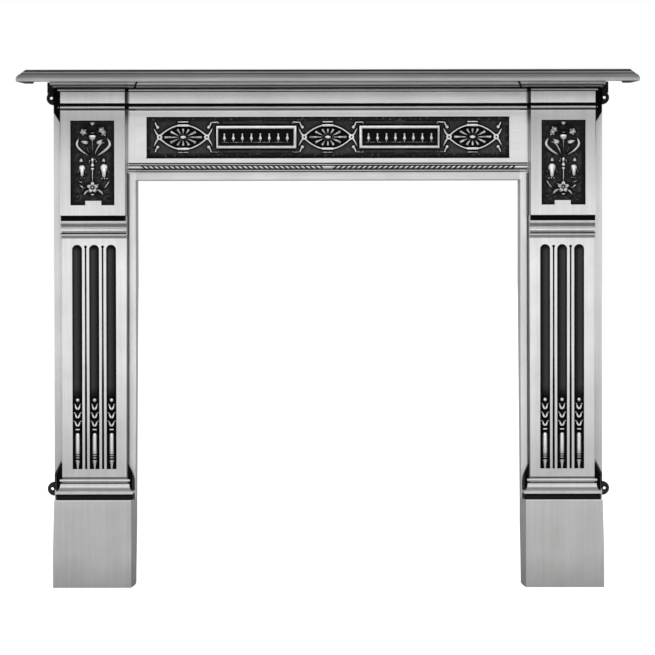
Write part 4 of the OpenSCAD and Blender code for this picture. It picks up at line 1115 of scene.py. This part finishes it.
class SURROUND_OT_leg_panels(bpy.types.Operator):
    """Carve the flower panel of each leg, the right one as the left one's mirror"""
    bl_idname = "surround.leg_panels"
    bl_label = "Leg panels"

    def execute(self, context):
        ground = BLOCK_D - GROUND_SINK
        ground_y = WALL_Y - ground
        graph = Graph("leg_relief_iron")
        lo, hi = (Vector(c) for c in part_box("right_leg_panel"))
        shade = margin(graph, lo, hi, LEG_INSET)
        aside = graph.minus(graph.x, (lo.x + hi.x) / 2)
        for rise, wide, high in ((0.082, 0.036, 0.020), (-0.064, 0.030, 0.020)):
            above = graph.minus(graph.z, (lo.z + hi.z) / 2 + rise)
            near = graph.reach(graph.math("DIVIDE", aside, wide), graph.math("DIVIDE", above, high))
            shade = graph.any(shade, graph.every(graph.step(near, 1.25, 0.75), 0.85))
        material = relief_material(graph, ground, 0.30, 0.86, shade, 0.75, 1.02)
        left_carving = join(bouquet(), "bouquet")
        right_carving = mirror_copy(left_carving)
        for hand, carving in (("left", left_carving), ("right", right_carving)):
            lo, hi = (Vector(c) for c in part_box(f"{hand}_leg_panel"))
            settle(carving, ((lo.x + hi.x) / 2, ground_y, (lo.z + hi.z) / 2))
            pieces = [leg_plate(lo, hi, ground_y), carving] + border_line(lo, hi, LEG_INSET, ground_y)
            panel = join(pieces, f"carved_{hand}_leg_panel")
            smooth(panel, 40)
            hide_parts(f"{hand}_leg_panel")
            finish_piece(panel, material)
        return {"FINISHED"}


# ---------- ornament in the feet of the flutes ----------

def husk(z, spread):
    """Two leaves that rise from a point and curl outwards, about the flute's axis."""
    path = [(0, z + 2.0), (2.5, z + 3.6), (4.5, z + 7.6), (5.4, z + 11), (spread * 0.76, z + 13.6), (spread, z + 14.4)]
    return [strand([(s * x, height) for x, height in path], [2.8, 2.9, 2.2, 1.5, 1.3, 1.2], 1.5, 2.4, 5.0)
            for s in (-1, 1)]


def finial():
    """Vase, candle, husks, ball and leaf tip that stand in a flute, about its axis, with heights from the floor."""
    turned = [
        lathe([(0, 294.4), (2.6, 294.4), (3.0, 301), (4.4, 309), (5.9, 315), (6.1, 316.4), (5.4, 317.3), (0, 317.5)]),
        lathe([(0, 321.3), (5.5, 321.4), (6.2, 322.6), (5.5, 323.8), (0, 323.9)]),
        lathe([(0, 326.9), (5.5, 327.0), (6.2, 328.2), (5.5, 329.4), (0, 329.5)]),
        lathe([(0, 331.6), (5.2, 331.8), (5.8, 333.2), (5.9, 345), (5.9, 377), (5.4, 381), (4.2, 383.6),
               (0, 384.4)], 24)]
    pieces = settle_all(turned, (0, -0.0010, 0))
    pieces += [bar(-4.9, 4.9, 391.5, 394.3, 5.0, 0.4), knob(0, 466.2, 10.2, 10.2, 5.4, sink=1.0),
               settle(petal(18, 7, 2.1), (0, -0.0002, 0.471), -math.pi / 2)]
    for z, spread in ((400.2, 11.4), (420.8, 10.0), (441.6, 8.0)):
        pieces += husk(z, spread)
    return join(pieces, "finial")


class SURROUND_OT_finials(bpy.types.Operator):
    """Stand the vase and husk ornament in the foot of each flute"""
    bl_idname = "surround.finials"
    bl_label = "Flute ornament"

    def execute(self, context):
        model = finial()
        smooth(model, 40)
        graph = Graph("finial_iron")
        polish = graph.step(graph.minus(graph.depth, FLUTE_FLOOR), 0.0018, 0.0034)
        # painted light: the ornament darker towards the foot of the flute, brighter higher up
        tone_and_painted_light = graph.ramp(graph.z, [(FLUTE_FOOT, 0.95), (0.40, 1.02), (0.50, 1.18)])
        material = iron_finish(graph, polish, tone_and_painted_light, "Z", 0.9)
        for hand, side in (("left", -1), ("right", 1)):
            for i in (-1, 0, 1):
                x = side * (FLUTE_MID + i * FLUTE_PITCH)
                piece = copy_of(model, (x, WALL_Y - FLUTE_FLOOR, 0))
                piece.name = piece.data.name = f"{hand}_finial_{i + 2}"
                finish_piece(piece, material)
        delete(model)
        return {"FINISHED"}


# ---------- studio ----------

def studio_world():
    """A room that lights from the front and less from behind and above, and that the camera sees as white."""
    world = bpy.context.scene.world or bpy.data.worlds.new("studio")
    bpy.context.scene.world = world
    world.use_nodes = True
    nodes, links = world.node_tree.nodes, world.node_tree.links
    nodes.clear()

    def ranged(value, low, high, out_low, out_high):
        node = nodes.new("ShaderNodeMapRange")
        node.interpolation_type = "SMOOTHSTEP"
        links.new(value, node.inputs["Value"])
        for name, number in (("From Min", low), ("From Max", high), ("To Min", out_low), ("To Max", out_high)):
            node.inputs[name].default_value = number
        return node.outputs[0]

    split = nodes.new("ShaderNodeSeparateXYZ")
    links.new(nodes.new("ShaderNodeTexCoord").outputs["Generated"], split.inputs[0])
    level = nodes.new("ShaderNodeMath")
    level.operation = "MULTIPLY"
    links.new(ranged(split.outputs["Y"], -0.9, 0.2, studio().front, studio().back), level.inputs[0])
    links.new(ranged(split.outputs["Z"], 0.25, 0.95, 1.0, 0.55), level.inputs[1])
    room, white = (nodes.new("ShaderNodeBackground") for _ in range(2))
    for background in (room, white):
        background.inputs["Color"].default_value = (1, 1, 1, 1)
    links.new(level.outputs[0], room.inputs["Strength"])
    mix = nodes.new("ShaderNodeMixShader")
    links.new(nodes.new("ShaderNodeLightPath").outputs["Is Camera Ray"], mix.inputs[0])
    links.new(room.outputs[0], mix.inputs[1])
    links.new(white.outputs[0], mix.inputs[2])
    links.new(mix.outputs[0], nodes.new("ShaderNodeOutputWorld").inputs[0])


def floor_material():
    """Pale and dull, and brighter where the camera sees it, so that it meets the white background."""
    material = bpy.data.materials.new("pale_floor")
    material.use_nodes = True
    nodes, links = material.node_tree.nodes, material.node_tree.links
    shader = nodes["Principled BSDF"]
    shader.inputs["Base Color"].default_value = colour(studio().floor)
    shader.inputs["Roughness"].default_value = 0.9
    lift = nodes.new("ShaderNodeEmission")
    lift.inputs["Color"].default_value = (1, 1, 1, 1)
    seen = nodes.new("ShaderNodeLightPath").outputs["Is Camera Ray"]
    amount = nodes.new("ShaderNodeMath")
    amount.operation = "MULTIPLY"
    amount.inputs[1].default_value = 0.85
    links.new(seen, amount.inputs[0])
    links.new(amount.outputs[0], lift.inputs["Strength"])
    total = nodes.new("ShaderNodeAddShader")
    links.new(shader.outputs[0], total.inputs[0])
    links.new(lift.outputs[0], total.inputs[1])
    links.new(total.outputs[0], nodes["Material Output"].inputs["Surface"])
    return material


class SURROUND_OT_studio(bpy.types.Operator):
    """Set up the floor, the soft light and the camera"""
    bl_idname = "surround.studio"
    bl_label = "Studio"

    def execute(self, context):
        scene = context.scene
        scene.view_settings.view_transform = "Standard"
        studio_world()
        clear_selection()
        bpy.ops.mesh.primitive_plane_add(size=600)
        floor = context.object
        floor.name = "floor"
        floor.data.materials.append(floor_material())
        bpy.ops.object.light_add(type="AREA", location=(0, -3.4, 3.0), rotation=(math.radians(52), 0, 0))
        lamp = context.object
        lamp.name = "front_softbox"
        lamp.data.shape = "RECTANGLE"
        lamp.data.size, lamp.data.size_y = 3.2, 1.4
        lamp.data.energy = studio().softbox
        lamp.visible_camera = False
        bpy.ops.object.camera_add(
            location=(-0.00025, -studio().distance, studio().eye_height),
            rotation=(math.pi / 2 - studio().tilt, studio().roll, 0))
        camera = context.object
        camera.name = "camera"
        camera.data.shift_x = studio().shift
        camera.data.sensor_width = 36
        camera.data.lens = studio().lens
        camera.data.clip_end = 1000
        scene.camera = camera
        return {"FINISHED"}


# ---------- panel, registration and making ----------

class SURROUND_PT_sidebar(bpy.types.Panel):
    """Lists the steps that finish the surround"""
    bl_label = "Mantel surround"
    bl_idname = "SURROUND_PT_sidebar"
    bl_space_type = "VIEW_3D"
    bl_region_type = "UI"
    bl_category = "Surround"

    def draw(self, context):
        for operator in STEPS:
            self.layout.operator(operator.bl_idname)
        for settings in (iron(), ornament(), studio()):
            box = self.layout.box()
            for key in settings.bl_rna.properties.keys():
                if key not in ("rna_type", "name"):
                    box.prop(settings, key)


STEPS = (SURROUND_OT_castings, SURROUND_OT_hardware, SURROUND_OT_rope, SURROUND_OT_frieze_panel,
         SURROUND_OT_leg_panels, SURROUND_OT_finials, SURROUND_OT_studio)
CLASSES = (IronSettings, OrnamentSettings, StudioSettings, *STEPS, SURROUND_PT_sidebar)


def register():
    for cls in CLASSES:
        bpy.utils.register_class(cls)
    bpy.types.Scene.surround_iron = PointerProperty(type=IronSettings)
    bpy.types.Scene.surround_ornament = PointerProperty(type=OrnamentSettings)
    bpy.types.Scene.surround_studio = PointerProperty(type=StudioSettings)


def unregister():
    del bpy.types.Scene.surround_iron
    del bpy.types.Scene.surround_ornament
    del bpy.types.Scene.surround_studio
    for cls in reversed(CLASSES):
        bpy.utils.unregister_class(cls)


def main():
    register()
    for step in STEPS:
        group, name = step.bl_idname.split(".")
        getattr(getattr(bpy.ops, group), name)()


if __name__ == "__main__":
    main()
